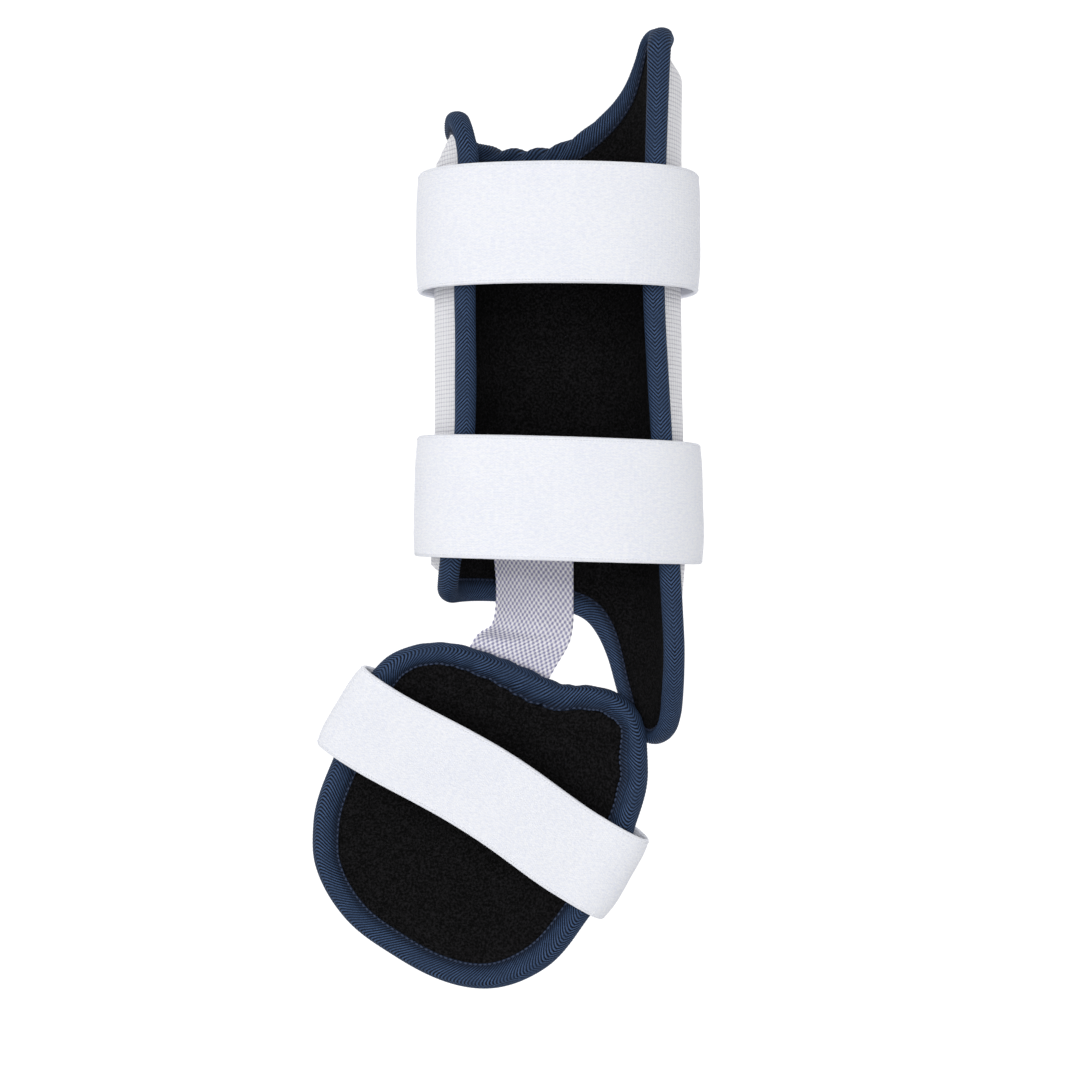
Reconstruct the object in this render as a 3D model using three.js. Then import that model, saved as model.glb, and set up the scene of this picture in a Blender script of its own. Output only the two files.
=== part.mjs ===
// A batter's leg and foot guard for one leg, lying on its front with the leg side up:
// a padded shin wall that is open at the back, two elastic straps across that opening,
// and a padded instep shield with a strap of its own, joined to the shin wall by a webbing link.
import * as THREE from "three";

// Lengths are millimetres and angles are degrees.
// x runs across the shin, y up the shin, and z from the surface that it lies on towards the leg.
const SEAT_GAP = 0.3;

// Shin wall, by its leg-side face: a flat front strip, an arc each side, then straight sides that lean in
const SHIN_FLAT_HALF = 9;
const SHIN_RADIUS = 33;
const SHIN_ARC_TURN = 104;
const SHIN_SIDE = 18;
const SHIN_PAD_THICK = 13;
const SHIN_EDGE_THICK = 4;
const COVER_THICK = 2;
const SHIN_CORNERS = { topLeft: 24, topRight: 12, bottomLeft: 34, bottomRight: 20 };

// The padding thins from its full depth down to the bound edge between these distances from the edge
const TAPER_FROM = 10;
const TAPER_TO = 31;

// Shin outline on the flat pattern: s runs round the wall from the front's middle, y up the shin
const SHIN_TOP_EDGE = [
  { s: -86, y: 184.5 },
  { s: -80, y: 183.5 },
  { s: -74, y: 182 },
  { s: -67, y: 180 },
  { s: -60, y: 177 },
  { s: -52, y: 175.5 },
  { s: -44, y: 175.8 },
  { s: -30, y: 173.5 },
  { s: -8, y: 173.5 },
  { s: 5, y: 177.5 },
  { s: 17, y: 186 },
  { s: 28, y: 195.5 },
  { s: 34.5, y: 203 },
  { s: 40, y: 211 },
  { s: 44, y: 215.5 },
  { s: 49, y: 218 },
  { s: 55, y: 217 },
  { s: 62, y: 214.5 },
  { s: 70, y: 214.5 },
  { s: 78, y: 216.5 },
  { s: 86, y: 217.5 },
];
const SHIN_BOTTOM_EDGE = [
  { s: -86, y: -24.5 },
  { s: -27, y: -25.5 },
  { s: 5, y: -30.5 },
  { s: 14, y: -34.5 },
  { s: 20, y: -42 },
  { s: 25, y: -53 },
  { s: 29, y: -66 },
  { s: 33, y: -78 },
  { s: 38, y: -85 },
  { s: 44, y: -88 },
  { s: 51, y: -87.5 },
  { s: 60, y: -82.5 },
  { s: 70, y: -73 },
  { s: 86, y: -62 },
];

// How far each side of the shin wall has sprung open, as a share of its full turn
const SHIN_LEFT_TURN = [
  { y: -30, share: 0.895 },
  { y: -10, share: 0.925 },
  { y: 10, share: 0.965 },
  { y: 50, share: 1.012 },
  { y: 120, share: 1.012 },
  { y: 180, share: 1.02 },
];
const SHIN_RIGHT_TURN = [
  { y: -86, share: 0.865 },
  { y: -60, share: 0.86 },
  { y: -40, share: 0.865 },
  { y: 40, share: 0.955 },
  { y: 110, share: 1 },
  { y: 160, share: 0.99 },
  { y: 216, share: 0.978 },
];

// Instep shield: a shallow dish, turned and tipped from the shin's frame
const FOOT_CENTRE = { x: -34, y: -122 };
const FOOT_YAW = -31;
const FOOT_TIP = -8;
const FOOT_PITCH = 3;
const FOOT_RADIUS_ACROSS = 115;
const FOOT_RADIUS_ALONG = 300;
const FOOT_PAD_THICK = 10;
const FOOT_EDGE_THICK = 4.6;
const FOOT_OUTLINE = [
  { angle: -90, radius: 72.8 },
  { angle: -57, radius: 74.6 },
  { angle: -36, radius: 70.8 },
  { angle: -10, radius: 63.4 },
  { angle: 26, radius: 66.8 },
  { angle: 46, radius: 75.8 },
  { angle: 63, radius: 82.3 },
  { angle: 74, radius: 77.8 },
  { angle: 86, radius: 66.7 },
  { angle: 97, radius: 64.5 },
  { angle: 115, radius: 67.5 },
  { angle: 133, radius: 74.4 },
  { angle: 148, radius: 76.3 },
  { angle: 162, radius: 72.2 },
  { angle: 188, radius: 65.1 },
  { angle: 216, radius: 70.7 },
  { angle: 230, radius: 74.1 },
  { angle: 250, radius: 74.6 },
  { angle: 270, radius: 72.8 },
];

// Edge binding: a tape folded over the edge of both walls
const TAPE_THICK = 1;
const TAPE_LEG = 8;
const TAPE_FOLD = 0.5;
const TAPE_BEND = 2;
const TAPE_SHOULDER = 1.5;
const TAPE_GAP = 0.45;

// Elastic straps of the shin wall, each seated on the cover's sides
const ELASTIC_THICK = 2;
const STRAP_SEAT_FROM = 27;
const STRAP_SEAT_TO = 50;
const STRAP_CROWN_HEIGHT = 87;
const STRAP_SEAT_HANDLE = 40;
const STRAP_CROWN_HANDLE = 68.5;
const SHIN_STRAPS = [
  { name: "upper_strap", y: 132.3, width: 50.9, slope: 0 },
  { name: "lower_strap", y: 17.2, width: 51.9, slope: -1.6 },
];

// Elastic strap of the instep shield: its two ends turn round the edges to the shield's outer face
const FOOT_STRAP_WIDTH = 40;
const FOOT_STRAP_B = 10.7;
const FOOT_STRAP_ENDS = [
  { side: -1, reach: 75, seatFrom: 45, seatTo: 59, height: 31 },
  { side: 1, reach: 70, seatFrom: 34, seatTo: 51, height: 28 },
];
const FOOT_STRAP_CROWN = 2;
const FOOT_STRAP_TURN_REACH = 0.72;
const FOOT_STRAP_BOW = 3;

// Webbing link: sewn to the shin's lining at the top and to the shield's outer face at the bottom
const LINK_WIDTH = 38;
const LINK_THICK = 1.6;
const LINK_SHIN_S = -11.5;
const LINK_TOP_Y = 26;
const LINK_FOOT_A = -23.5;
const LINK_FOOT_EDGE_B = 68.3;
const LINK_FOOT_EDGE_SLOPE = 0.19;
const LINK_HUMP = 3;
const LINK_HUMP_SHARE = 0.4;
const LINK_CLEAR = 0.6;

// Where the link is held: distances in from the bound edges, and its rise from the lining onto the tape
const LINK_SHIN_STATIONS = [
  { fromEdge: 34, lift: 0 },
  { fromEdge: 17, lift: 0.25 },
  { fromEdge: 9, lift: 1 },
  { fromEdge: 3, lift: 1 },
  { fromEdge: -4, lift: 1 },
];
const LINK_FOOT_STATIONS = [-5, 4, 14, 24];

// How finely the pieces are divided
const SIDE_STEPS = [0, 0.8, 3, 6.5, 10.5, 15, 21, 28, 36];
const LEFT_COLUMNS = [-44, -37, -30, -23, -16];
const FRONT_COLUMNS = [-9, 0, 9];
const RIGHT_COLUMNS = [13, 17, 20.5, 24, 27.5, 31, 34.5, 38, 42, 46];
const EDGE_STEPS = [0, 10.5, 18, 31];
const SHIN_MIDDLE_ROWS = 5;
const FOOT_OUTLINE_STEPS = 54;
const FOOT_RINGS = [0, 10.5, 18, 30, 48];
const STRAP_ROWS = 3;
const LINK_ROWS = 7;
const LINK_STEPS = 30;
const SEAT_STEPS = 4;
const TURN_STEPS = 10;
const SPAN_STEPS = 3;

const { degToRad, lerp, smoothstep, clamp, euclideanModulo } = THREE.MathUtils;
const SHIN_ARC = SHIN_RADIUS * degToRad(SHIN_ARC_TURN);
const SHIN_HALF = SHIN_FLAT_HALF + SHIN_ARC + SHIN_SIDE;

// A smooth curve through a table's rows, level past its ends
function follow(rows, across, up, at) {
  const last = rows.length - 1;
  const place = clamp(at, rows[0][across], rows[last][across]);
  const next = clamp(rows.findIndex((row) => row[across] > place), 1, last);
  const i = place >= rows[last][across] ? last - 1 : next - 1;
  const slopeAt = (j) => {
    const before = rows[Math.max(j - 1, 0)];
    const after = rows[Math.min(j + 1, last)];
    return (after[up] - before[up]) / (after[across] - before[across]);
  };
  const span = rows[i + 1][across] - rows[i][across];
  const t = (place - rows[i][across]) / span;
  const ease = t * t * (3 - 2 * t);
  const bend = t * (1 - t) * span * ((1 - t) * slopeAt(i) - t * slopeAt(i + 1));
  return lerp(rows[i][up], rows[i + 1][up], ease) + bend;
}

// A closed body from points and triangles, wound so that its faces point outwards
function closedGeometry(points, triangles) {
  const volume = triangles.reduce((sum, [a, b, c]) => {
    const normal = new THREE.Vector3().crossVectors(points[b], points[c]);
    return sum + points[a].dot(normal);
  }, 0);
  const wound = volume < 0 ? triangles.map(([a, b, c]) => [a, c, b]) : triangles;
  const geometry = new THREE.BufferGeometry();
  const values = points.flatMap((point) => point.toArray());
  geometry.setAttribute("position", new THREE.Float32BufferAttribute(values, 3));
  geometry.setIndex(wound.flat());
  geometry.computeVertexNormals();
  return geometry;
}

// A slab between two matching grids of points: pointAt(column, row, face), with face 0 or 1
function slabGeometry(columns, rows, pointAt) {
  const points = [];
  const triangles = [];
  const index = (c, r, face) => (face * columns + c) * rows + r;
  const quad = (a, b, c, d) => triangles.push([a, b, c], [a, c, d]);
  for (const face of [0, 1]) {
    for (let c = 0; c < columns; c += 1) {
      for (let r = 0; r < rows; r += 1) {
        points.push(pointAt(c, r, face));
      }
    }
  }
  for (let c = 0; c + 1 < columns; c += 1) {
    for (let r = 0; r + 1 < rows; r += 1) {
      quad(index(c, r, 0), index(c + 1, r, 0), index(c + 1, r + 1, 0), index(c, r + 1, 0));
      quad(index(c, r, 1), index(c, r + 1, 1), index(c + 1, r + 1, 1), index(c + 1, r, 1));
    }
    quad(index(c, 0, 0), index(c, 0, 1), index(c + 1, 0, 1), index(c + 1, 0, 0));
    const r = rows - 1;
    quad(index(c, r, 0), index(c + 1, r, 0), index(c + 1, r, 1), index(c, r, 1));
  }
  for (let r = 0; r + 1 < rows; r += 1) {
    quad(index(0, r, 0), index(0, r + 1, 0), index(0, r + 1, 1), index(0, r, 1));
    const c = columns - 1;
    quad(index(c, r, 0), index(c, r, 1), index(c, r + 1, 1), index(c, r + 1, 0));
  }
  return closedGeometry(points, triangles);
}

// A dish between two faces made of rings round a middle point: pointAt(step, ring, face), with ring -1
// for the middle
function dishGeometry(steps, rings, pointAt) {
  const points = [];
  const triangles = [];
  const index = (i, ring, face) => (face * rings + ring) * steps + (i % steps);
  const middle = (face) => 2 * rings * steps + face;
  const quad = (a, b, c, d) => triangles.push([a, b, c], [a, c, d]);
  for (const face of [0, 1]) {
    for (let ring = 0; ring < rings; ring += 1) {
      for (let i = 0; i < steps; i += 1) {
        points.push(pointAt(i, ring, face));
      }
    }
  }
  points.push(pointAt(0, -1, 0), pointAt(0, -1, 1));
  for (let i = 0; i < steps; i += 1) {
    for (let ring = 0; ring + 1 < rings; ring += 1) {
      quad(index(i, ring, 0), index(i + 1, ring, 0), index(i + 1, ring + 1, 0), index(i, ring + 1, 0));
      quad(index(i, ring, 1), index(i, ring + 1, 1), index(i + 1, ring + 1, 1), index(i + 1, ring, 1));
    }
    triangles.push([index(i, rings - 1, 0), index(i + 1, rings - 1, 0), middle(0)]);
    triangles.push([index(i, rings - 1, 1), middle(1), index(i + 1, rings - 1, 1)]);
    quad(index(i, 0, 0), index(i, 0, 1), index(i + 1, 0, 1), index(i + 1, 0, 0));
  }
  return closedGeometry(points, triangles);
}

// A closed ring of one section, swept round a closed path: pointAt(step, corner)
function ringGeometry(steps, corners, pointAt) {
  const points = [];
  const triangles = [];
  const index = (i, j) => (i % steps) * corners + (j % corners);
  for (let i = 0; i < steps; i += 1) {
    for (let j = 0; j < corners; j += 1) {
      points.push(pointAt(i, j));
      triangles.push([index(i, j), index(i + 1, j), index(i + 1, j + 1)]);
      triangles.push([index(i, j), index(i + 1, j + 1), index(i, j + 1)]);
    }
  }
  return closedGeometry(points, triangles);
}

// A flat band of even thickness about a grid of middle points, lines[row][column]
function bandGeometry(lines, thickness) {
  const rows = lines.length;
  const columns = lines[0].length;
  const normalAt = (c, r) => {
    const along = lines[r][Math.min(c + 1, columns - 1)].clone().sub(lines[r][Math.max(c - 1, 0)]);
    const across = lines[Math.min(r + 1, rows - 1)][c].clone().sub(lines[Math.max(r - 1, 0)][c]);
    return along.cross(across).normalize();
  };
  return slabGeometry(columns, rows, (c, r, face) =>
    lines[r][c].clone().addScaledVector(normalAt(c, r), (face - 0.5) * thickness));
}

// A folded tape's section, by distance in from the edge and depth n from the leg-side face
function tapeSection(edgeThick) {
  const inner = -TAPE_GAP;
  const outer = edgeThick + TAPE_GAP;
  const low = inner - TAPE_THICK;
  const high = outer + TAPE_THICK;
  return [
    { inward: TAPE_LEG, n: low },
    { inward: TAPE_LEG / 2, n: low },
    { inward: TAPE_FOLD, n: low },
    { inward: -TAPE_SHOULDER, n: low + TAPE_SHOULDER },
    { inward: -TAPE_BEND, n: edgeThick / 2 },
    { inward: -TAPE_SHOULDER, n: high - TAPE_SHOULDER },
    { inward: TAPE_FOLD, n: high },
    { inward: TAPE_LEG / 2, n: high },
    { inward: TAPE_LEG, n: high },
    { inward: TAPE_LEG, n: outer },
    { inward: TAPE_LEG / 2, n: outer },
    { inward: -TAPE_GAP, n: outer },
    { inward: -TAPE_GAP, n: inner },
    { inward: TAPE_LEG / 2, n: inner },
    { inward: TAPE_LEG, n: inner },
  ];
}

// The direction into the pattern, square to a closed outline at one of its points
function inwardAt(outline, i) {
  const before = outline[(i + outline.length - 1) % outline.length];
  const after = outline[(i + 1) % outline.length];
  return new THREE.Vector2(before.y - after.y, after.x - before.x).normalize();
}

// The distance from a place on a pattern to its closed outline
function edgeDistance(outline, place) {
  return outline.reduce((least, from, i) => {
    const along = outline[(i + 1) % outline.length].clone().sub(from);
    const share = clamp(place.clone().sub(from).dot(along) / along.lengthSq(), 0, 1);
    return Math.min(least, from.clone().addScaledVector(along, share).distanceTo(place));
  }, Infinity);
}

// The wall's depth at a place on the pattern: full in the middle, thin at the bound edge
function wallThick(outline, place, edgeThick, padThick) {
  return lerp(edgeThick, padThick, smoothstep(edgeDistance(outline, place), TAPER_FROM, TAPER_TO));
}

function material(color, roughness) {
  return new THREE.MeshStandardMaterial({ color, roughness, metalness: 0 });
}

function addPiece(group, name, geometry, finish) {
  const mesh = new THREE.Mesh(geometry, finish);
  mesh.name = name;
  group.add(mesh);
  return mesh;
}

// Shin wall: places on the flat pattern, bent round the leg

function shinTurn(s, y) {
  return s < 0 ? follow(SHIN_LEFT_TURN, "y", "share", y) : follow(SHIN_RIGHT_TURN, "y", "share", y);
}

// A point at depth n outwards from the wall's leg-side face
function shinPoint(s, y, n) {
  const share = shinTurn(s, y);
  const past = Math.max(0, Math.abs(s) - SHIN_FLAT_HALF);
  const angle = (Math.min(past, SHIN_ARC) / SHIN_RADIUS) * share;
  const straight = Math.max(0, past - SHIN_ARC);
  const radius = SHIN_RADIUS / share;
  const across = Math.min(Math.abs(s), SHIN_FLAT_HALF) + (radius + n) * Math.sin(angle);
  const x = across + straight * Math.cos(angle);
  const z = SHIN_PAD_THICK + radius - (radius + n) * Math.cos(angle) + straight * Math.sin(angle);
  return new THREE.Vector3(Math.sign(s) * x, y, z);
}

// How far a rounded corner draws an edge in at s
function cornerDraw(s, leftRadius, rightRadius) {
  const radius = s < 0 ? leftRadius : rightRadius;
  const inside = clamp(Math.abs(s) - (SHIN_HALF - radius), 0, radius);
  return radius - Math.sqrt(radius ** 2 - inside ** 2);
}

function shinTop(s) {
  const corner = cornerDraw(s, SHIN_CORNERS.topLeft, SHIN_CORNERS.topRight);
  return follow(SHIN_TOP_EDGE, "s", "y", s) - corner;
}

function shinBottom(s) {
  const corner = cornerDraw(s, SHIN_CORNERS.bottomLeft, SHIN_CORNERS.bottomRight);
  return follow(SHIN_BOTTOM_EDGE, "s", "y", s) + corner;
}

const shinColumns = [
  ...SIDE_STEPS.map((step) => step - SHIN_HALF),
  ...LEFT_COLUMNS,
  ...FRONT_COLUMNS,
  ...RIGHT_COLUMNS,
  ...SIDE_STEPS.map((step) => SHIN_HALF - step).reverse(),
];

// Heights of the wall's rows in one column: close together near both edges
function shinRowHeights(s) {
  const low = shinBottom(s);
  const high = shinTop(s);
  const inset = EDGE_STEPS.at(-1);
  const middle = [];
  for (let i = 1; i < SHIN_MIDDLE_ROWS; i += 1) {
    middle.push(lerp(low + inset, high - inset, i / SHIN_MIDDLE_ROWS));
  }
  return [
    ...EDGE_STEPS.map((step) => low + step),
    ...middle,
    ...EDGE_STEPS.map((step) => high - step).reverse(),
  ];
}

// The shin wall's closed outline on the pattern, counter-clockwise
function shinOutline() {
  const edgePoint = (edge) => (s) => new THREE.Vector2(s, edge(s));
  const side = (s) => shinRowHeights(s).slice(1, -1).map((y) => new THREE.Vector2(s, y));
  return [
    ...shinColumns.map(edgePoint(shinBottom)),
    ...side(SHIN_HALF),
    ...shinColumns.map(edgePoint(shinTop)).reverse(),
    ...side(-SHIN_HALF).reverse(),
  ];
}

const shinEdge = shinOutline();

// One layer of the shin wall, between two depths that are given by the wall's own thickness
function shinLayer(innerDepth, outerDepth) {
  const heights = shinColumns.map(shinRowHeights);
  return slabGeometry(shinColumns.length, heights[0].length, (c, r, face) => {
    const place = new THREE.Vector2(shinColumns[c], heights[c][r]);
    const thick = wallThick(shinEdge, place, SHIN_EDGE_THICK, SHIN_PAD_THICK);
    return shinPoint(place.x, place.y, face === 0 ? innerDepth(thick) : outerDepth(thick));
  });
}

function shinBinding() {
  const section = tapeSection(SHIN_EDGE_THICK);
  return ringGeometry(shinEdge.length, section.length, (i, j) => {
    const place = shinEdge[i].clone().addScaledVector(inwardAt(shinEdge, i), section[j].inward);
    return shinPoint(place.x, place.y, section[j].n);
  });
}

// Half of a shin strap at one height, from its seat on the cover to the crown over the opening
function shinStrapHalf(side, y) {
  const points = [];
  for (let i = 0; i <= SEAT_STEPS; i += 1) {
    const angle = degToRad(lerp(STRAP_SEAT_FROM, STRAP_SEAT_TO, i / SEAT_STEPS));
    const s = side * (SHIN_FLAT_HALF + (angle * SHIN_RADIUS) / shinTurn(side, y));
    points.push(shinPoint(s, y, SHIN_PAD_THICK + SEAT_GAP + ELASTIC_THICK / 2));
  }
  const leave = degToRad(STRAP_SEAT_TO);
  const seat = points.pop();
  const handle = new THREE.Vector3(side * Math.cos(leave), 0, Math.sin(leave));
  const rise = new THREE.CubicBezierCurve3(
    seat,
    handle.multiplyScalar(STRAP_SEAT_HANDLE).add(seat),
    new THREE.Vector3(side * STRAP_CROWN_HANDLE, y, STRAP_CROWN_HEIGHT),
    new THREE.Vector3(0, y, STRAP_CROWN_HEIGHT),
  );
  return [...points, ...rise.getPoints(TURN_STEPS)];
}

function shinStrap({ y, width, slope }) {
  const lines = [];
  for (let r = 0; r < STRAP_ROWS; r += 1) {
    const height = y + width * (r / (STRAP_ROWS - 1) - 0.5);
    const line = [...shinStrapHalf(-1, height), ...shinStrapHalf(1, height).reverse().slice(1)];
    line.forEach((point) => {
      point.y += point.x * Math.tan(degToRad(slope));
    });
    lines.push(line);
  }
  return bandGeometry(lines, ELASTIC_THICK);
}

// Instep shield: places in its own frame, a across and b along the foot

function footRadius(angle) {
  const first = FOOT_OUTLINE[0].angle;
  return follow(FOOT_OUTLINE, "angle", "radius", first + euclideanModulo(angle - first, 360));
}

// A point at depth n outwards from the dish's leg-side face
function footPoint(a, b, n) {
  const rise = a ** 2 / (2 * FOOT_RADIUS_ACROSS) + b ** 2 / (2 * FOOT_RADIUS_ALONG);
  const outward = new THREE.Vector3(a / FOOT_RADIUS_ACROSS, b / FOOT_RADIUS_ALONG, -1).normalize();
  return new THREE.Vector3(a, b, rise).addScaledVector(outward, n);
}

function footOutline() {
  const points = [];
  for (let i = 0; i < FOOT_OUTLINE_STEPS; i += 1) {
    const angle = (i * 360) / FOOT_OUTLINE_STEPS;
    const turn = degToRad(angle);
    points.push(new THREE.Vector2(Math.cos(turn), Math.sin(turn)).multiplyScalar(footRadius(angle)));
  }
  return points;
}

const footEdge = footOutline();

function footThick(place) {
  return wallThick(footEdge, place, FOOT_EDGE_THICK, FOOT_PAD_THICK);
}

function footLayer(innerDepth, outerDepth) {
  return dishGeometry(footEdge.length, FOOT_RINGS.length, (i, ring, face) => {
    const radius = footEdge[i].length();
    const place = footEdge[i].clone().setLength(ring < 0 ? 0 : radius - FOOT_RINGS[ring]);
    const thick = footThick(place);
    return footPoint(place.x, place.y, face === 0 ? innerDepth(thick) : outerDepth(thick));
  });
}

function footBinding() {
  const section = tapeSection(FOOT_EDGE_THICK);
  return ringGeometry(footEdge.length, section.length, (i, j) => {
    const place = footEdge[i].clone().addScaledVector(inwardAt(footEdge, i), section[j].inward);
    return footPoint(place.x, place.y, section[j].n);
  });
}

// Places along the foot of the strap's lines, from its lower to its upper edge
function footStrapRows() {
  const rows = [];
  for (let r = 0; r < STRAP_ROWS; r += 1) {
    rows.push(FOOT_STRAP_B + FOOT_STRAP_WIDTH * (r / (STRAP_ROWS - 1) - 0.5));
  }
  return rows;
}

// Half of the shield's strap at one place along the foot, from its sewn end to the middle of its span
function footStrapHalf({ side, reach, seatFrom, seatTo, height }, b, middleHeight) {
  const padAt = (row) => footThick(new THREE.Vector2(side * seatFrom, row));
  const sewnOn = Math.max(...footStrapRows().map(padAt));
  const points = [];
  for (let i = 0; i <= SEAT_STEPS; i += 1) {
    const share = i / SEAT_STEPS;
    const depth = lerp(sewnOn, FOOT_PAD_THICK, share) + SEAT_GAP + ELASTIC_THICK / 2;
    points.push(footPoint(side * lerp(seatFrom, seatTo, share), b, depth));
  }
  const seat = points.pop();
  const slope = seatTo / FOOT_RADIUS_ACROSS;
  const handle = (reach - seatTo) / FOOT_STRAP_TURN_REACH;
  const turn = new THREE.CubicBezierCurve3(
    seat,
    new THREE.Vector3(side, 0, slope).normalize().multiplyScalar(handle).add(seat),
    new THREE.Vector3(side * (seatTo + handle), b, height),
    new THREE.Vector3(side * seatTo, b, height),
  );
  points.push(...turn.getPoints(TURN_STEPS));
  for (let i = 1; i < SPAN_STEPS; i += 1) {
    const left = 1 - i / SPAN_STEPS;
    const bowed = b + FOOT_STRAP_BOW * (1 - left ** 2) ** 2;
    points.push(new THREE.Vector3(side * seatTo * left, bowed, lerp(middleHeight, height, left ** 2)));
  }
  return points;
}

function footStrap() {
  const [left, right] = FOOT_STRAP_ENDS;
  const middleHeight = (left.height + right.height) / 2 + FOOT_STRAP_CROWN;
  const lines = footStrapRows().map((b) => [
    ...footStrapHalf(left, b, middleHeight),
    new THREE.Vector3(0, b + FOOT_STRAP_BOW, middleHeight),
    ...footStrapHalf(right, b, middleHeight).reverse(),
  ]);
  return bandGeometry(lines, ELASTIC_THICK);
}

// Webbing link: over the shin's lower edge, down, and under the shield's upper edge

function linkLine(share, footToShin) {
  const s = LINK_SHIN_S + share * LINK_WIDTH;
  const a = LINK_FOOT_A + share * LINK_WIDTH;
  const onLining = -(SEAT_GAP + LINK_THICK / 2);
  const onTape = TAPE_GAP + TAPE_THICK + LINK_CLEAR + LINK_THICK / 2;
  const edgeB = LINK_FOOT_EDGE_B + LINK_FOOT_EDGE_SLOPE * a;
  const onShin = LINK_SHIN_STATIONS.map(({ fromEdge, lift }) =>
    shinPoint(s, shinBottom(s) + fromEdge, lerp(onLining, -onTape, lift)));
  const onFoot = LINK_FOOT_STATIONS.map((fromEdge) => {
    const place = new THREE.Vector2(a, edgeB - fromEdge);
    const underCover = footThick(place) + SEAT_GAP + LINK_THICK / 2;
    const depth = Math.max(FOOT_EDGE_THICK + onTape, underCover);
    return footPoint(place.x, place.y, depth).applyMatrix4(footToShin);
  });
  const hump = onShin.at(-1).clone().lerp(onFoot[0], LINK_HUMP_SHARE);
  hump.z += LINK_HUMP;
  const line = new THREE.CatmullRomCurve3([shinPoint(s, LINK_TOP_Y, onLining), ...onShin, hump, ...onFoot]);
  return line.getSpacedPoints(LINK_STEPS);
}

function webbingLink(footToShin) {
  const lines = [];
  for (let r = 0; r < LINK_ROWS; r += 1) {
    lines.push(linkLine(r / (LINK_ROWS - 1) - 0.5, footToShin));
  }
  return bandGeometry(lines, LINK_THICK);
}

// Finishes
const whiteCover = material(0xdfe3ec, 0.8);
const blackLining = material(0x121113, 0.95);
const navyTape = material(0x2a3d5f, 0.7);
const whiteElastic = material(0xeef1f8, 0.75);
const greyWebbing = material(0xd2d1de, 0.8);

// The assembly
const guard = new THREE.Group();
const coverInside = (thick) => thick - COVER_THICK;
const liningOutside = (thick) => thick - COVER_THICK - SEAT_GAP;
const legFace = () => 0;
const outerFace = (thick) => thick;

addPiece(guard, "shin_cover", shinLayer(coverInside, outerFace), whiteCover.clone());
addPiece(guard, "shin_lining", shinLayer(legFace, liningOutside), blackLining.clone());
addPiece(guard, "shin_binding", shinBinding(), navyTape.clone());
SHIN_STRAPS.forEach((strap) => addPiece(guard, strap.name, shinStrap(strap), whiteElastic.clone()));

const foot = new THREE.Group();
foot.rotation.set(degToRad(FOOT_PITCH), degToRad(FOOT_TIP), degToRad(FOOT_YAW), "ZYX");
foot.position.set(FOOT_CENTRE.x, FOOT_CENTRE.y, 0);
const footCover = addPiece(foot, "foot_cover", footLayer(coverInside, outerFace), whiteCover.clone());
addPiece(foot, "foot_lining", footLayer(legFace, liningOutside), blackLining.clone());
addPiece(foot, "foot_binding", footBinding(), navyTape.clone());
addPiece(foot, "foot_strap", footStrap(), whiteElastic.clone());
foot.updateMatrixWorld(true);
foot.position.z = -new THREE.Box3().setFromObject(footCover, true).min.z;
foot.updateMatrix();
guard.add(foot);
addPiece(guard, "link_webbing", webbingLink(foot.matrix), greyWebbing.clone());

// The origin lies on the surface, below the middle of the guard's box
guard.updateMatrixWorld(true);
const box = new THREE.Box3().setFromObject(guard, true);
const middle = box.getCenter(new THREE.Vector3());
guard.position.set(-middle.x, -middle.y, -box.min.z);

export default guard;
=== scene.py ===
"""Looks of a batter's leg and foot guard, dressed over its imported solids.

Shapes are worked out in millimetres in the shin's own frame, as the solids are: x across the shin,
y up the shin, z from the floor towards the leg. They become metres in the part's frame as meshes are made.
"""

import math

import bpy
import numpy as np
from bpy.props import FloatProperty, FloatVectorProperty, PointerProperty
from bpy.types import Operator, Panel, PropertyGroup
from mathutils import Euler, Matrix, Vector
from mathutils.kdtree import KDTree


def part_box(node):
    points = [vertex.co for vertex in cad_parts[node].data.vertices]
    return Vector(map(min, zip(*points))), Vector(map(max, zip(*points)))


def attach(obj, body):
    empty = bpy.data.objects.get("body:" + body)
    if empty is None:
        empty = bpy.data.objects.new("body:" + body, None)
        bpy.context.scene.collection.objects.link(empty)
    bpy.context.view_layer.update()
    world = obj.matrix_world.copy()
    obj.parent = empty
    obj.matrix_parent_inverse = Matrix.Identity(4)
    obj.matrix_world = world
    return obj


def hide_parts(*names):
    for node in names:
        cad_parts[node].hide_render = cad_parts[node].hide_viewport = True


bl_info = {
    "name": "Batter's leg and foot guard",
    "version": (1, 0, 0),
    "blender": (4, 5, 0),
    "location": "3D View > Sidebar > Guard",
    "description": "Dresses the solids of a padded leg and foot guard in its fabrics",
    "category": "Add Mesh",
}

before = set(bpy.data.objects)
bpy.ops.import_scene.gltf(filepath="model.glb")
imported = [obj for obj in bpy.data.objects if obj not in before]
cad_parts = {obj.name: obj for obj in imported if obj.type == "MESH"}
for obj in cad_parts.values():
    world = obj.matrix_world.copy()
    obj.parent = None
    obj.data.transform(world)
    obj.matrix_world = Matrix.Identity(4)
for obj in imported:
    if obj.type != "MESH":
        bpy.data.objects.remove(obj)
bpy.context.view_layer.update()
MM = 0.001

# Shin wall, by its leg-side face: a flat front strip, an arc each side, then straight sides that lean in
SHIN_FLAT_HALF = 9
SHIN_RADIUS = 33
SHIN_ARC_TURN = 104
SHIN_STRAIGHT = 18
SHIN_ARC = SHIN_RADIUS * math.radians(SHIN_ARC_TURN)
SHIN_HALF = SHIN_FLAT_HALF + SHIN_ARC + SHIN_STRAIGHT
SHIN_PAD_THICK = 13
SHIN_EDGE_THICK = 4
SHIN_CORNERS = {"top_left": 24, "top_right": 12, "bottom_left": 34, "bottom_right": 20}
COVER_THICK = 2
SEAT_GAP = 0.3

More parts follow.
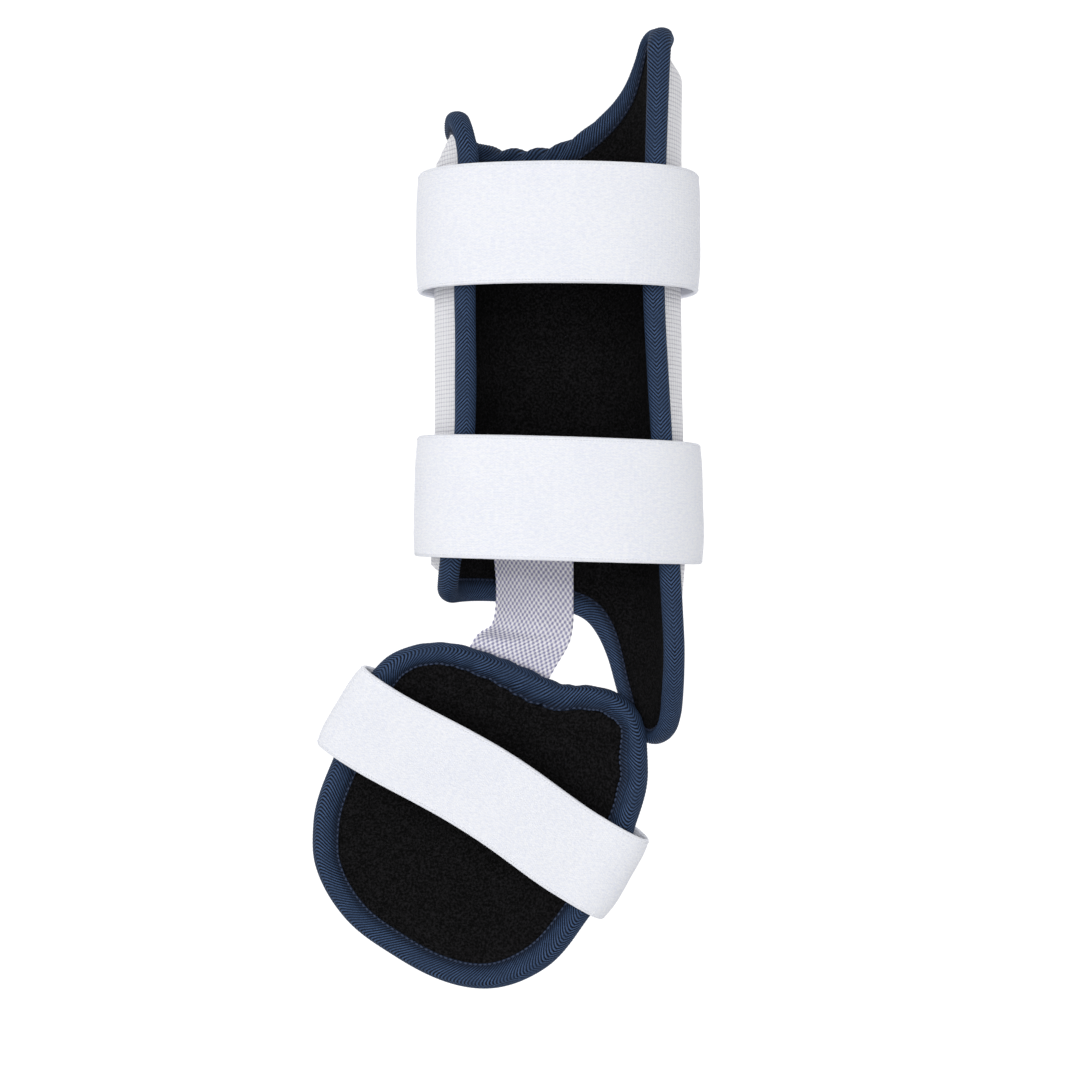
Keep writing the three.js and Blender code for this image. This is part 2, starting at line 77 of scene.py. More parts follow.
# The padding thins from its full depth down to the bound edge between these distances from the edge.
# The shin wall keeps its depth nearer to the edge on the left, thins early towards its sides, and is thin
# down its wing
TAPER_FROM = 5.5
TAPER_TO = 24
LEFT_TAPER_TO = 16
LEFT_TAPER_SPAN = 40
SIDE_TAPER = 8, 36
WING_THIN = 0.5
WING_ACROSS = 30, 50
WING_DOWN = 5, 45

# Soft unevenness of the walls: the lining swells beside the tape in waves of a height and a length, and the
# cover sinks in a little. The lattices are the counts of places across each wall
LINING_SWELL = -0.3, 5
LINING_WAVES = [(0.35, 55), (0.12, 17)]
COVER_WAVE = 0.3
COVER_WAVE_SEED = 11
COVER_WAVE_LENGTH = 60
COVER_WAVE_FADE = 9
SHIN_LATTICE = 150
FOOT_LATTICE = 120
FOOT_REST_LATTICE = 61

# Shin outline on the flat pattern: s runs round the wall from the front's middle, y up the shin
SHIN_TOP_EDGE = [
    (-86, 187.5), (-80, 186.5), (-74, 184.5), (-67, 181.5), (-60, 177.5), (-52, 175.5), (-44, 175.8),
    (-30, 173.5), (-8, 173.5), (5, 177.5), (17, 186), (28, 195.5), (34.5, 203), (40, 212),
    (44, 219.5), (49, 222.5), (55, 222), (62, 219.5), (70, 217), (78, 217), (86, 217.5),
]
SHIN_BOTTOM_EDGE = [
    (-86, -24.5), (-27, -25.5), (5, -30.5), (14, -34.5), (20, -42), (25, -53), (29, -66),
    (33, -78), (38, -85), (44, -88), (51, -87.5), (60, -82.5), (70, -73), (86, -62),
]

# How far each side of the wall has sprung open, as a share of its full turn, by height
SHIN_LEFT_TURN = [
    (-30, 0.89), (-10, 0.915), (10, 0.95), (50, 0.995), (120, 0.995), (158, 1.015), (182, 0.975),
]
SHIN_RIGHT_TURN = [
    (-86, 0.865), (-60, 0.86), (-40, 0.865), (40, 0.931), (110, 0.98), (160, 0.968), (216, 0.945),
]

# Instep shield: a shallow dish in a frame of its own, with its outline by angle and radius
FOOT_CENTRE = (-34, -122)
FOOT_TURN = (3, -8, -31)
FOOT_RADIUS_ACROSS = 115
FOOT_RADIUS_ALONG = 300
FOOT_PAD_THICK = 10
FOOT_EDGE_THICK = 4.6
FOOT_OUTLINE = [
    (-90, 72.8), (-57, 74.6), (-36, 70.8), (-10, 63.4), (26, 66.8), (46, 75.8), (63, 82.3), (74, 77.8),
    (86, 66.7), (97, 64.5), (115, 67.5), (133, 74.4), (148, 76.3), (162, 72.2), (188, 65.1), (216, 70.7),
    (230, 74.1), (250, 74.6),
]

# Binding tape folded over the walls' edges
TAPE_THICK = 1
TAPE_LEG = 8
TAPE_FOLD = 0.5
TAPE_BEND = 2
TAPE_GAP = 0.45
FOOT_SPINE = -3.5

# Gathers along the front of the shin's upper edge, by place round the wall and spread along the edge
GATHERS_AT = -14
GATHERS_SPREAD = 24
GATHER_PITCH = 11.5
GATHER_SLANT = 1.4
GATHER_WANDER = 0.7
GATHER_LUMP = 1.8
GATHER_LEVEL = 1.05
GATHER_RISE = 1.3
GATHER_SHIFT = 0.6
GATHER_LOOSE = 1, 5.5

# The shin's tape is full at its lower left corner and at its right tip: place, spread and fullness
FULL_CORNER_AT, FULL_CORNER_SPREAD, FULL_CORNER = -64, 20, 1.2
FULL_CORNER_FOLD = 4
FULL_TIP_AT, FULL_TIP_SPREAD, FULL_TIP = 85, 12, 0.6

# Places on the shin's edge where a leg of its tape is narrow: edge, place round the wall, spread and share
SHIN_INNER_NARROW = [("top", 43, 20, 0.48), ("bottom", 27, 20, 0.3), ("bottom", 52, 26, 0.45)]
SHIN_OUTER_NARROW = [("top", -57, 9, 0.6), ("top", 57, 9, 0.6), ("bottom", -64, 18, 0.6)]

# Puckers along the shield's upper edge, and the frilled edge that stands up beside its corner. A place on
# the shield's edge is a point of its pattern and a spread along the edge. The frill's lip and groove are a
# height, a distance from the tape's edge and a spread
PUCKERS = -8, 64, 45
PUCKER_PITCH = 9.5
PUCKER_SLANT = 0.6
PUCKER_WANDER = 3
PUCKER_SHIFT = 0.35
PUCKER_RISE = 0.3
FRILL = 46, 64, 34
FRILL_SHIFT = 0.6
FRILL_LIP = 2.1, 0.9, 1.0
FRILL_GROOVE = -1.2, 3.2, 0.7
PRESSED_CORNER = 47, 63, 12
CORNER_PRESS = 0.7
LINK_SEAM = -8, 65, 16
LINK_SEAM_WIDER = 0.3
FOOT_NARROW_CORNERS = [(-56, 46, 18), (38, 72, 12)]
FOOT_CORNER_NARROWER = 0.25

# Slow unevenness of both tapes, a share of it across them
SOFT_ACROSS = 0.3
SHIN_SOFT_SHIFT = 0.12
SHIN_SOFT_RISE = 0.14
FOOT_SOFT = 0.15

# Elastic straps of the shin wall, each seated on the cover's sides
ELASTIC_THICK = 2
STRAP_SEAT_FROM = 27
STRAP_SEAT_TO = 50
STRAP_CROWN_HEIGHT = 87
STRAP_SEAT_HANDLE = 40
STRAP_CROWN_HANDLE = 68.5
STRAP_STEPS = 240
STRAP_SEAT_STEPS = 24
STRAP_RISE_STEPS = 80
STRAP_WAVE = 0.18
STRAP_WAVE_LENGTH = 38
STRAP_SIDE_ROUND = 0.026
SHIN_STRAP_ROUND = 32, 62
LOOP_INSET = 1.4
LOOP_LIFT = 0.1
SHIN_STRAPS = {
    "upper_strap": {"y": 132.3, "width": 50.9, "slope": 0},
    "lower_strap": {"y": 17.2, "width": 51.9, "slope": -1.6},
}

# Elastic strap of the instep shield
FOOT_STRAP_WIDTH = 40
FOOT_STRAP_B = 10.7
FOOT_STRAP_ENDS = [
    {"side": -1, "reach": 75, "seat_from": 45, "seat_to": 59, "height": 31},
    {"side": 1, "reach": 70, "seat_from": 34, "seat_to": 51, "height": 28},
]
FOOT_STRAP_CROWN = 2
FOOT_STRAP_TURN_REACH = 0.72
FOOT_STRAP_BOW = 3
FOOT_STRAP_ROUND = 4, 20
FOOT_STRAP_SEED = 35
FOOT_STRAP_SEAT_STEPS = 16
FOOT_STRAP_TURN_STEPS = 60
FOOT_STRAP_SPAN_STEPS = 30

# Edges of every band, rounded over their last millimetre: places in from the edge, the least share of the
# thickness, and the fuller strip beside the edge by its height, middle and spread
BAND_EDGE = np.array([0, 0.12, 0.35, 0.7, 1.2, 2])
BAND_BODY_PLACES = 30
BAND_THINNEST = 0.03
BAND_FULL = 0.06, 1.6, 0.9

# Webbing link from the shin's lining to the shield's outer face. Its stations are distances from a bound
# edge, with a share of the lift onto the tape on the shin, and its crease is a height, a place and a spread
LINK_WIDTH = 38
LINK_THICK = 1.6
LINK_SHIN_S = -11.5
LINK_TOP_Y = 26
LINK_FOOT_A = -21.5
LINK_FOOT_EDGE_B = 68.3
LINK_FOOT_EDGE_SLOPE = 0.19
LINK_HUMP = 3
LINK_HUMP_SHARES = 0.64, 0.45
LINK_FOOT_NARROW = 0.92
LINK_HUMP_SIDE_SHARE = 0.12
LINK_CREASE = 0.8, -45, 2.5
LINK_CLEAR = 1.6
LINK_SHIN_STATIONS = [(34, 0), (17, 0.25), (9, 1), (3, 1), (-4, 1)]
LINK_FOOT_STATIONS = [-5, 4, 10, 14, 19, 24]
LINK_FOOT_CLEAR = 0.5
LINK_PRESS_BESIDE = 7, 1
LINK_PRESS_ABOVE = 9, 2
LINK_STEPS_PER_SPAN = 24
LINK_MEASURED_POINTS = 400
LINK_SAMPLES_PER_YARN = 4
LINK_COARSE_LINES = 15
LINK_EASE = 5
LINK_SLANT = 0.15
LINK_YARN_ROOM = 0.3
LINK_SCALLOP = 0.1
LINK_SCALLOP_BAND = 2

# Sewing: how far stitches stand off their tape, and their sections as multiples of the thread
STITCH_LIFT = 0.2
STITCH_SECTION = 2, 1.6
LOOP_SECTION = 1.7, 1, 0.8

# Studio: a sensor in millimetres, a floor in metres just under the guard, and each light's place, size
# and share of the key power
SENSOR_WIDTH = 36
FLOOR_HALF = 3.0
FLOOR_DROP = 0.0006
LIGHTS = [
    ("overhead", (0, 0, 1.8), 1.6, 1.0),
    ("left", (-1.4, 0.5, 1.2), 1.0, 0.2),
]

# The shin's axis in the part's frame, from the strap that is square to it
strap_low, strap_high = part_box("upper_strap")
SHIN_ORIGIN = np.array([
    (strap_low.x + strap_high.x) / 2,
    (strap_low.y + strap_high.y) / 2 - SHIN_STRAPS["upper_strap"]["y"] * MM,
    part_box("shin_cover")[0].z,
])


def srgb(red, green, blue):
    """A screen colour, 0 to 255 a channel, as the linear values that shaders use."""
    shares = [channel / 255 for channel in (red, green, blue)]
    return tuple(c / 12.92 if c <= 0.04045 else ((c + 0.055) / 1.055) ** 2.4 for c in shares)


def length_property(name, description, default):
    return FloatProperty(name=name, description=description, default=default, min=0,
                         precision=5, unit="LENGTH")


def colour_property(name, description, default):
    return FloatVectorProperty(name=name, description=description, default=srgb(*default),
                               size=3, min=0, max=1, subtype="COLOR")


class GuardSizes(PropertyGroup):
    """Sizes of the weave, the sewing and the soft forms, in metres."""

    grid_pitch: length_property("Grid pitch", "Spacing of the cover's knitted grid", 0.0018)
    rib_pitch: length_property("Rib pitch", "Spacing of the tape's ribs along the edge", 0.00165)
    rib_height: length_property("Rib height", "Height of the tape's ribs", 0.00024)
    warp_pitch: length_property("Warp pitch", "Spacing of the webbing's lengthwise yarns", 0.0011)
    weft_pitch: length_property("Weft pitch", "Spacing of the webbing's crosswise yarns", 0.00155)
    yarn_height: length_property("Yarn height", "Height of the webbing's yarns", 0.0006)
    puff: length_property("Lining puff", "Rise of the lining beside the tape", 0.0017)
    stitch: length_property("Tape stitch", "Length of a stitch on the tape's edge", 0.0019)
    stitch_gap: length_property("Tape stitch spacing", "From one tape stitch to the next", 0.0027)
    thread: length_property("Thread", "Thickness of the sewing thread", 0.0005)
    loop_gap: length_property("Loop spacing", "Distance between the loops of an elastic's edge", 0.0013)


class GuardColours(PropertyGroup):
    """Colours of the fabrics."""

    cover: colour_property("Cover", "Raised squares of the cover", (251, 251, 255))
    # The line colour is painted shade in the knit's sunken lines
    cover_line: colour_property("Cover line", "Sunken lines of the cover", (213, 213, 223))
    lining: colour_property("Lining", "Black pile of the lining", (5, 5, 5))
    lining_tip: colour_property("Lining tip", "Lighter tips of the pile", (34, 33, 35))
    # Tape colours: the ribs lighter as painted highlight, the grooves darker as painted shade
    tape: colour_property("Tape", "Ribs of the binding tape", (74, 100, 140))
    tape_groove_shade: colour_property("Tape groove", "Grooves of the binding tape", (5, 10, 24))
    elastic: colour_property("Elastic", "White elastic", (250, 251, 255))
    elastic_shade: colour_property("Elastic shade", "Hollows of the white elastic", (236, 239, 250))
    webbing: colour_property("Webbing", "Yarns of the webbing", (252, 250, 255))
    # The gap colour is painted shade between the webbing's yarns
    webbing_gap_shade: colour_property("Webbing gap", "Between the yarns of the webbing", (144, 143, 178))
    navy_thread: colour_property("Navy thread", "Thread on the shield's tape", (48, 62, 90))
    dark_thread: colour_property("Dark thread", "Thread on the shin wall's tape", (36, 48, 76))
    white_thread: colour_property("White thread", "Thread on white pieces", (244, 246, 252))
    floor: colour_property("Floor", "Studio floor", (150, 150, 150))


class GuardStage(PropertyGroup):
    """Camera and studio light."""

    camera_height: length_property("Camera height", "Height of the lens above the floor", 0.985)
    camera_offset: FloatProperty(name="Camera offset", default=-0.0076, unit="LENGTH",
                                 description="How far the camera stands right of the shin's axis")
    lens: FloatProperty(name="Lens", default=72,
                        description="Focal length on a 36 mm sensor, in millimetres")
    key_power: FloatProperty(name="Key power", default=26, unit="POWER",
                             description="Power of the overhead light")
    sky: FloatProperty(name="Sky", description="Strength of the even light all round", default=0.2)
    floor_glow: FloatProperty(name="Floor glow", description="Light given off by the floor", default=0.9)


# Curves and patterns


def mix(first, second, share):
    return first + (second - first) * share


def smoothstep(value, low, high):
    share = np.clip((value - low) / (high - low), 0, 1)
    return share * share * (3 - 2 * share)


def follow(rows, at):
    """A smooth curve through a table's rows, level past its ends."""
    place, value = np.array(rows, float).T
    before = np.maximum(np.arange(len(place)) - 1, 0)
    after = np.minimum(np.arange(len(place)) + 1, len(place) - 1)
    slope = (value[after] - value[before]) / (place[after] - place[before])
    at = np.clip(at, place[0], place[-1])
    i = np.clip(np.searchsorted(place, at, side="right") - 1, 0, len(place) - 2)
    span = place[i + 1] - place[i]
    share = (at - place[i]) / span
    ease = share * share * (3 - 2 * share)
    bend = share * (1 - share) * span * ((1 - share) * slope[i] - share * slope[i + 1])
    return mix(value[i], value[i + 1], ease) + bend


def ridge(value, height, middle, spread):
    """A smooth ridge, or a groove where its height is negative."""
    return height * np.exp(-((value - middle) / spread) ** 2)


def unit(vectors):
    return vectors / np.maximum(np.linalg.norm(vectors, axis=-1, keepdims=True), 1e-9)


def bezier(start, leave, arrive, end, count):
    """Points on a cubic curve, as rows."""
    t = np.linspace(0, 1, count)[:, None]
    return ((1 - t) ** 3 * start + 3 * t * (1 - t) ** 2 * leave
            + 3 * t ** 2 * (1 - t) * arrive + t ** 3 * end)


def spaced(line, count):
    """The same line with its points evenly spaced."""
    steps = np.linalg.norm(np.diff(line, axis=0), axis=1)
    walked = np.concatenate([[0], np.cumsum(steps)])
    at = np.linspace(0, walked[-1], count)
    return np.column_stack([np.interp(at, walked, column) for column in line.T])


def waves(x, y, seed, wavelength):
    """A gentle unevenness between about -1 and 1, from a few crossed waves."""
    draw = np.random.default_rng(seed)
    total = np.zeros(np.broadcast(x, y).shape)
    count = 6
    for _ in range(count):
        turn = draw.uniform(0, 2 * math.pi)
        pitch = wavelength * draw.uniform(0.7, 1.5)
        phase = draw.uniform(0, 2 * math.pi)
        total += np.sin(2 * math.pi * (x * math.cos(turn) + y * math.sin(turn)) / pitch + phase)
    return total / math.sqrt(2 * count)


class Outline:
    """A closed pattern edge, counter-clockwise, walked by its length."""

    STEP = 0.4
    SMOOTH = 5

    def __init__(self, points):
        closed = np.vstack([points, points[:1]])
        steps = np.linalg.norm(np.diff(closed, axis=0), axis=1)
        walked = np.concatenate([[0], np.cumsum(steps)])
        self.length = walked[-1]
        count = round(self.length / self.STEP)
        self.walk = np.linspace(0, self.length, count + 1)
        self.points = np.column_stack([np.interp(self.walk, walked, column) for column in closed.T])
        ring = self.points[:-1]
        ahead = np.roll(ring, -self.SMOOTH, axis=0) - np.roll(ring, self.SMOOTH, axis=0)
        inward = unit(np.column_stack([-ahead[:, 1], ahead[:, 0]]))
        self.inward = np.vstack([inward, inward[:1]])
        self.tree = KDTree(count)
        for i, point in enumerate(ring):
            self.tree.insert((point[0], point[1], 0), i)
        self.tree.balance()

    def read(self, rows, walked):
        around = np.mod(walked, self.length)
        return np.stack([np.interp(around, self.walk, column) for column in rows.T], -1)

    def place(self, walked, inward):
        """Places on the pattern, so far along the edge and so far in from it."""
        reach = np.asarray(inward)[..., None]
        return self.read(self.points, walked) + self.read(self.inward, walked) * reach

    def nearest(self, x, y):
        """How far places on the pattern are from the edge, and where along it the nearest place is."""
        found = [self.tree.find((a, b, 0))[1:] for a, b in zip(np.ravel(x), np.ravel(y))]
        index, distance = zip(*found)
        return np.reshape(distance, np.shape(x)), np.reshape(self.walk[list(index)], np.shape(x))

    def distance(self, x, y):
        return self.nearest(x, y)[0]

    def walked_to(self, x, y):
        """How far along the edge its nearest place to a point is."""
        return self.walk[self.tree.find((x, y, 0))[1]]


def shin_turn(s, y):
    return np.where(s < 0, follow(SHIN_LEFT_TURN, y), follow(SHIN_RIGHT_TURN, y))


def shin_point(s, y, n):
    """Places on the shin's flat pattern bent round the leg, at depth n outwards from the leg-side face."""
    s, y, n = np.broadcast_arrays(s, y, n)
    share = shin_turn(s, y)
    past = np.maximum(0, np.abs(s) - SHIN_FLAT_HALF)
    angle = np.minimum(past, SHIN_ARC) / SHIN_RADIUS * share
    straight = np.maximum(0, past - SHIN_ARC)
    radius = SHIN_RADIUS / share
    across = np.minimum(np.abs(s), SHIN_FLAT_HALF) + (radius + n) * np.sin(angle)
    x = np.sign(s) * (across + straight * np.cos(angle))
    z = SHIN_PAD_THICK + radius - (radius + n) * np.cos(angle) + straight * np.sin(angle)
    return np.stack([x, y, z], -1)


def corner_draw(s, left, right):
    """How far a rounded corner draws an edge in at s."""
    radius = np.where(s < 0, SHIN_CORNERS[left], SHIN_CORNERS[right])
    inside = np.clip(np.abs(s) - (SHIN_HALF - radius), 0, radius)
    return radius - np.sqrt(radius ** 2 - inside ** 2)


def shin_top(s):
    return follow(SHIN_TOP_EDGE, s) - corner_draw(s, "top_left", "top_right")


def shin_bottom(s):
    return follow(SHIN_BOTTOM_EDGE, s) + corner_draw(s, "bottom_left", "bottom_right")


def shin_columns(count):
    """Places across the shin pattern, closer together towards both sides."""
    return SHIN_HALF * np.sin(np.linspace(-math.pi / 2, math.pi / 2, count))


def shin_outline():
    """The shin wall's edge: along its bottom, up its right side, back along its top and down its left."""
    columns, rows = 900, 700
    across = shin_columns(columns)
    right = np.linspace(shin_bottom(across[-1]), shin_top(across[-1]), rows)[1:-1]
    left = np.linspace(shin_top(across[0]), shin_bottom(across[0]), rows)[1:-1]
    return Outline(np.vstack([
        np.column_stack([across, shin_bottom(across)]),
        np.column_stack([np.full(len(right), SHIN_HALF), right]),
        np.column_stack([across, shin_top(across)])[::-1],
        np.column_stack([np.full(len(left), -SHIN_HALF), left]),
    ]))


def foot_radius(angle):
    """How far the shield's edge lies from its middle, at an angle in degrees."""
    first = FOOT_OUTLINE[0][0]
    rows = np.array(FOOT_OUTLINE)
    turn = np.array([360, 0])
    return follow(np.vstack([rows[-1:] - turn, rows, rows[:2] + turn]), first + np.mod(angle - first, 360))


def foot_outline():
    step = 0.25
    angle = np.arange(0, 360, step)
    turn = np.radians(angle)
    return Outline(np.column_stack([np.cos(turn), np.sin(turn)]) * foot_radius(angle)[:, None])


def dish_point(a, b, n):
    """A point of the shield in its own frame, at depth n outwards from its leg-side face."""
    a, b, n = np.broadcast_arrays(a, b, n)
    rise = a ** 2 / (2 * FOOT_RADIUS_ACROSS) + b ** 2 / (2 * FOOT_RADIUS_ALONG)
    outward = unit(np.stack([a / FOOT_RADIUS_ACROSS, b / FOOT_RADIUS_ALONG, -np.ones(a.shape)], -1))
    return np.stack([a, b, rise], -1) + outward * n[..., None]


FOOT_AXES = np.array(Euler([math.radians(turn) for turn in FOOT_TURN], "XYZ").to_matrix())
SHIN_EDGE = shin_outline()
FOOT_EDGE = foot_outline()


def shin_thick(s, y):
    """Depth of the shin wall, cover and padding, at places on its pattern."""
    taper_to = mix(LEFT_TAPER_TO, TAPER_TO, smoothstep(s, -LEFT_TAPER_SPAN, LEFT_TAPER_SPAN))
    near_edge = smoothstep(SHIN_EDGE.distance(s, y), TAPER_FROM, taper_to)
    near_side = smoothstep(SHIN_HALF - np.abs(s), *SIDE_TAPER)
    wing = smoothstep(s, *WING_ACROSS) * smoothstep(-y, *WING_DOWN)
    return mix(SHIN_EDGE_THICK, SHIN_PAD_THICK, np.minimum(near_edge, near_side) * (1 - WING_THIN * wing))


def foot_thick(a, b):
    """Depth of the shield, cover and padding, at places on its pattern."""
    return mix(FOOT_EDGE_THICK, FOOT_PAD_THICK, smoothstep(FOOT_EDGE.distance(a, b), TAPER_FROM, TAPER_TO))


def foot_lattice(count):
    """Places all over the shield's pattern, on a square grid pressed into its outline."""
    u, v = np.meshgrid(np.linspace(-1, 1, count), np.linspace(-1, 1, count), indexing="ij")
    a = u * np.sqrt(1 - v ** 2 / 2)
    b = v * np.sqrt(1 - u ** 2 / 2)
    reach = foot_radius(np.degrees(np.arctan2(b, a)))
    return a * reach, b * reach


def foot_rest_height():
    """How high the shield's frame stands, so that its cover just rests on the floor."""
    a, b = foot_lattice(FOOT_REST_LATTICE)
    return -(dish_point(a, b, foot_thick(a, b)) @ FOOT_AXES.T)[..., 2].min()


FOOT_ORIGIN = np.array([*FOOT_CENTRE, foot_rest_height()])


def from_foot(points):
    return points @ FOOT_AXES.T + FOOT_ORIGIN


def foot_point(a, b, n):
    return from_foot(dish_point(a, b, n))


# Meshes


def quads(first, second, third, fourth):
    return np.stack([first, second, third, fourth], -1).reshape(-1, 4)


def slab_faces(columns, rows):
    """Faces of a closed slab between two matching grids of points."""
    under, over = np.arange(2 * columns * rows).reshape(2, columns, rows)
    faces = [
        quads(under[:-1, :-1], under[1:, :-1], under[1:, 1:], under[:-1, 1:]),
        quads(over[:-1, :-1], over[:-1, 1:], over[1:, 1:], over[1:, :-1]),
    ]
    rims = [
        (under[:, 0], over[:, 0]),
        (under[-1], over[-1]),
        (under[::-1, -1], over[::-1, -1]),
        (under[0, ::-1], over[0, ::-1]),
    ]
    faces += [quads(low[:-1], high[:-1], high[1:], low[1:]) for low, high in rims]
    return np.vstack(faces)


def outward_faces(points, faces):
    """The faces turned, if need be, so that a closed body's faces point outwards."""
    a, b, c, d = (points[faces[:, k]] for k in range(4))
    volume = (a * np.cross(b, c)).sum() + (a * np.cross(c, d)).sum()
    return faces if volume > 0 else faces[:, ::-1]


def make_mesh(name, points, faces, corner_places):
    """A smooth mesh in the part's frame from points in the shin's, with its pattern places as UVs."""
    mesh = bpy.data.meshes.new(name)
    mesh.from_pydata((points * MM + SHIN_ORIGIN).tolist(), [], faces.tolist())
    mesh.shade_smooth()
    layer = mesh.uv_layers.new(name="pattern")
    layer.data.foreach_set("uv", corner_places.astype(np.float32).ravel())
    mesh.validate()
    return mesh


def show(mesh, material):
    piece = bpy.data.objects.new(mesh.name, mesh)
    bpy.context.scene.collection.objects.link(piece)
    if material is not None:
        mesh.materials.append(material)
    return piece


def stand_for(piece, node):
    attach(piece, "root")
    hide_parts(node)


def slab_piece(name, under, over, places, material):
    """A closed slab piece between two grids of points, with pattern places for both in metres."""
    columns, rows = under.shape[:2]
    points = np.vstack([under.reshape(-1, 3), over.reshape(-1, 3)])
    faces = outward_faces(points, slab_faces(columns, rows))
    flat = places.reshape(-1, 2)
    corner_places = np.vstack([flat, flat])[faces]
    return show(make_mesh(name, points, faces, corner_places), material)


def grid_area(points):
    """Area of a grid of points in square metres, from millimetres."""
    along = points[1:, :-1] - points[:-1, :-1]
    across = points[:-1, 1:] - points[:-1, :-1]
    return np.linalg.norm(np.cross(along, across), axis=-1).sum() * MM ** 2


def grid_normals(points):
    along = np.gradient(points, axis=0)
    across = np.gradient(points, axis=1)
    return unit(np.cross(along, across))


# Finishes


class Wire:
    """A shader socket that Python's operators join to Math nodes."""

    def __init__(self, finish, socket):
        self.finish = finish
        self.socket = socket

    def math(self, operation, *others):
        sockets = dict(enumerate((self, *others)))
        return self.finish.node("ShaderNodeMath", {"operation": operation}, sockets)

    def __add__(self, other):
        return self.math("ADD", other)

    def __sub__(self, other):
        return self.math("SUBTRACT", other)

    def __rsub__(self, other):
        return self.finish.node("ShaderNodeMath", {"operation": "SUBTRACT"}, {0: other, 1: self})

    def __mul__(self, other):
        return self.math("MULTIPLY", other)

    def __abs__(self):
        return self.math("ABSOLUTE")

    __radd__ = __add__
    __rmul__ = __mul__


class Finish:
    """A node material that ends in one Principled shader."""

    # Which of a Mix node's inputs are its factor and colours, and which output is the mixed colour
    MIX_FACTOR, MIX_LOW, MIX_HIGH, MIX_COLOUR = 0, 6, 7, 2

    def __init__(self, name):
        self.material = bpy.data.materials.new(name)
        self.material.use_nodes = True
        self.tree = self.material.node_tree
        self.tree.nodes.clear()

    def node(self, kind, settings=None, sockets=None, output=0):
        """A node of that type, with its settings made first and then its sockets set or joined."""
        made = self.tree.nodes.new(kind)
        for key, value in (settings or {}).items():
            setattr(made, key, value)
        for key, value in (sockets or {}).items():
            if isinstance(value, Wire):
                self.tree.links.new(value.socket, made.inputs[key])
            else:
                made.inputs[key].default_value = value
        return Wire(self, made.outputs[output]) if made.outputs else None

    def pattern(self):
        """The piece's own pattern places, as two wires in metres."""
        places = self.node("ShaderNodeUVMap", {"uv_map": "pattern"})
        along = self.node("ShaderNodeSeparateXYZ", None, {0: places}, "X")
        across = self.node("ShaderNodeSeparateXYZ", None, {0: places}, "Y")
        return along, across

    def noise(self, grain, detail=2.0, roughness=0.5):
        """Noise between 0 and 1 on the piece itself, with grains of about that size in metres."""
        place = self.node("ShaderNodeTexCoord", None, None, "Object")
        sockets = {"Vector": place, "Scale": 1 / grain, "Detail": detail, "Roughness": roughness}
        return self.node("ShaderNodeTexNoise", None, sockets, "Fac")

    def colours(self, low, high, share):
        """A colour between two, by a share."""
        sockets = {self.MIX_FACTOR: share, self.MIX_LOW: (*low, 1), self.MIX_HIGH: (*high, 1)}
        return self.node("ShaderNodeMix", {"data_type": "RGBA"}, sockets, self.MIX_COLOUR)

    def ease(self, value, low, high):
        """0 below low, 1 above high, and smooth between them."""
        sockets = {"Value": value, "From Min": low, "From Max": high}
        return self.node("ShaderNodeMapRange", {"interpolation_type": "SMOOTHSTEP"}, sockets)

    def bump(self, height, depth):
        """A relief whose height of 0 to 1 stands for that depth in metres."""
        return self.node("ShaderNodeBump", None, {"Height": height, "Distance": depth, "Strength": 1})

    def finish(self, sockets):
        shader = self.node("ShaderNodeBsdfPrincipled", None, sockets)
        self.node("ShaderNodeOutputMaterial", None, {"Surface": shader})
        return self.material


def finish_named(name, make):
    """A finish that pieces share, made the first time that one needs it."""
    return bpy.data.materials.get(name) or make(Finish(name), bpy.context.scene)


def cover_fabric(finish, scene):
    """White grid knit: soft squares between thin sunken lines, with painted shade in the lines."""
    colours = scene.guard_colours
    along, across = finish.pattern()
    pitch = scene.guard_sizes.grid_pitch
    swell_along = abs((along * (math.pi / pitch)).math("SINE"))
    swell_across = abs((across * (math.pi / pitch)).math("SINE"))
    pillow = (swell_along * swell_across).math("SQRT")
    fibre = finish.noise(grain=0.0005)
    cloudy = finish.noise(grain=0.02)
    knit = pillow + fibre * 0.3
    # Painted shade: darker towards the sunken lines between the squares, full white on the squares
    share = finish.ease(knit, low=0.2, high=0.8) * (0.85 + cloudy * 0.3)
    return finish.finish({
        "Base Color": finish.colours(colours.cover_line, colours.cover, share),
        "Roughness": 0.85,
        "Normal": finish.bump(knit, depth=0.0004),
        "Sheen Weight": 0.1,
        "Sheen Roughness": 0.5,
    })


def lining_fabric(finish, scene):
    """Black short pile, its tips catching a little light."""
    colours = scene.guard_colours
    pile = finish.noise(grain=0.001, roughness=0.6)
    brushed = finish.noise(grain=0.012)
    share = finish.ease(pile * 0.92 + brushed * 0.08, low=0.36, high=0.74)
    return finish.finish({
        "Base Color": finish.colours(colours.lining, colours.lining_tip, share),
        "Roughness": 0.95,
        "Normal": finish.bump(pile + brushed * 0.4, depth=0.0011),
        "Specular IOR Level": 0.1,
    })


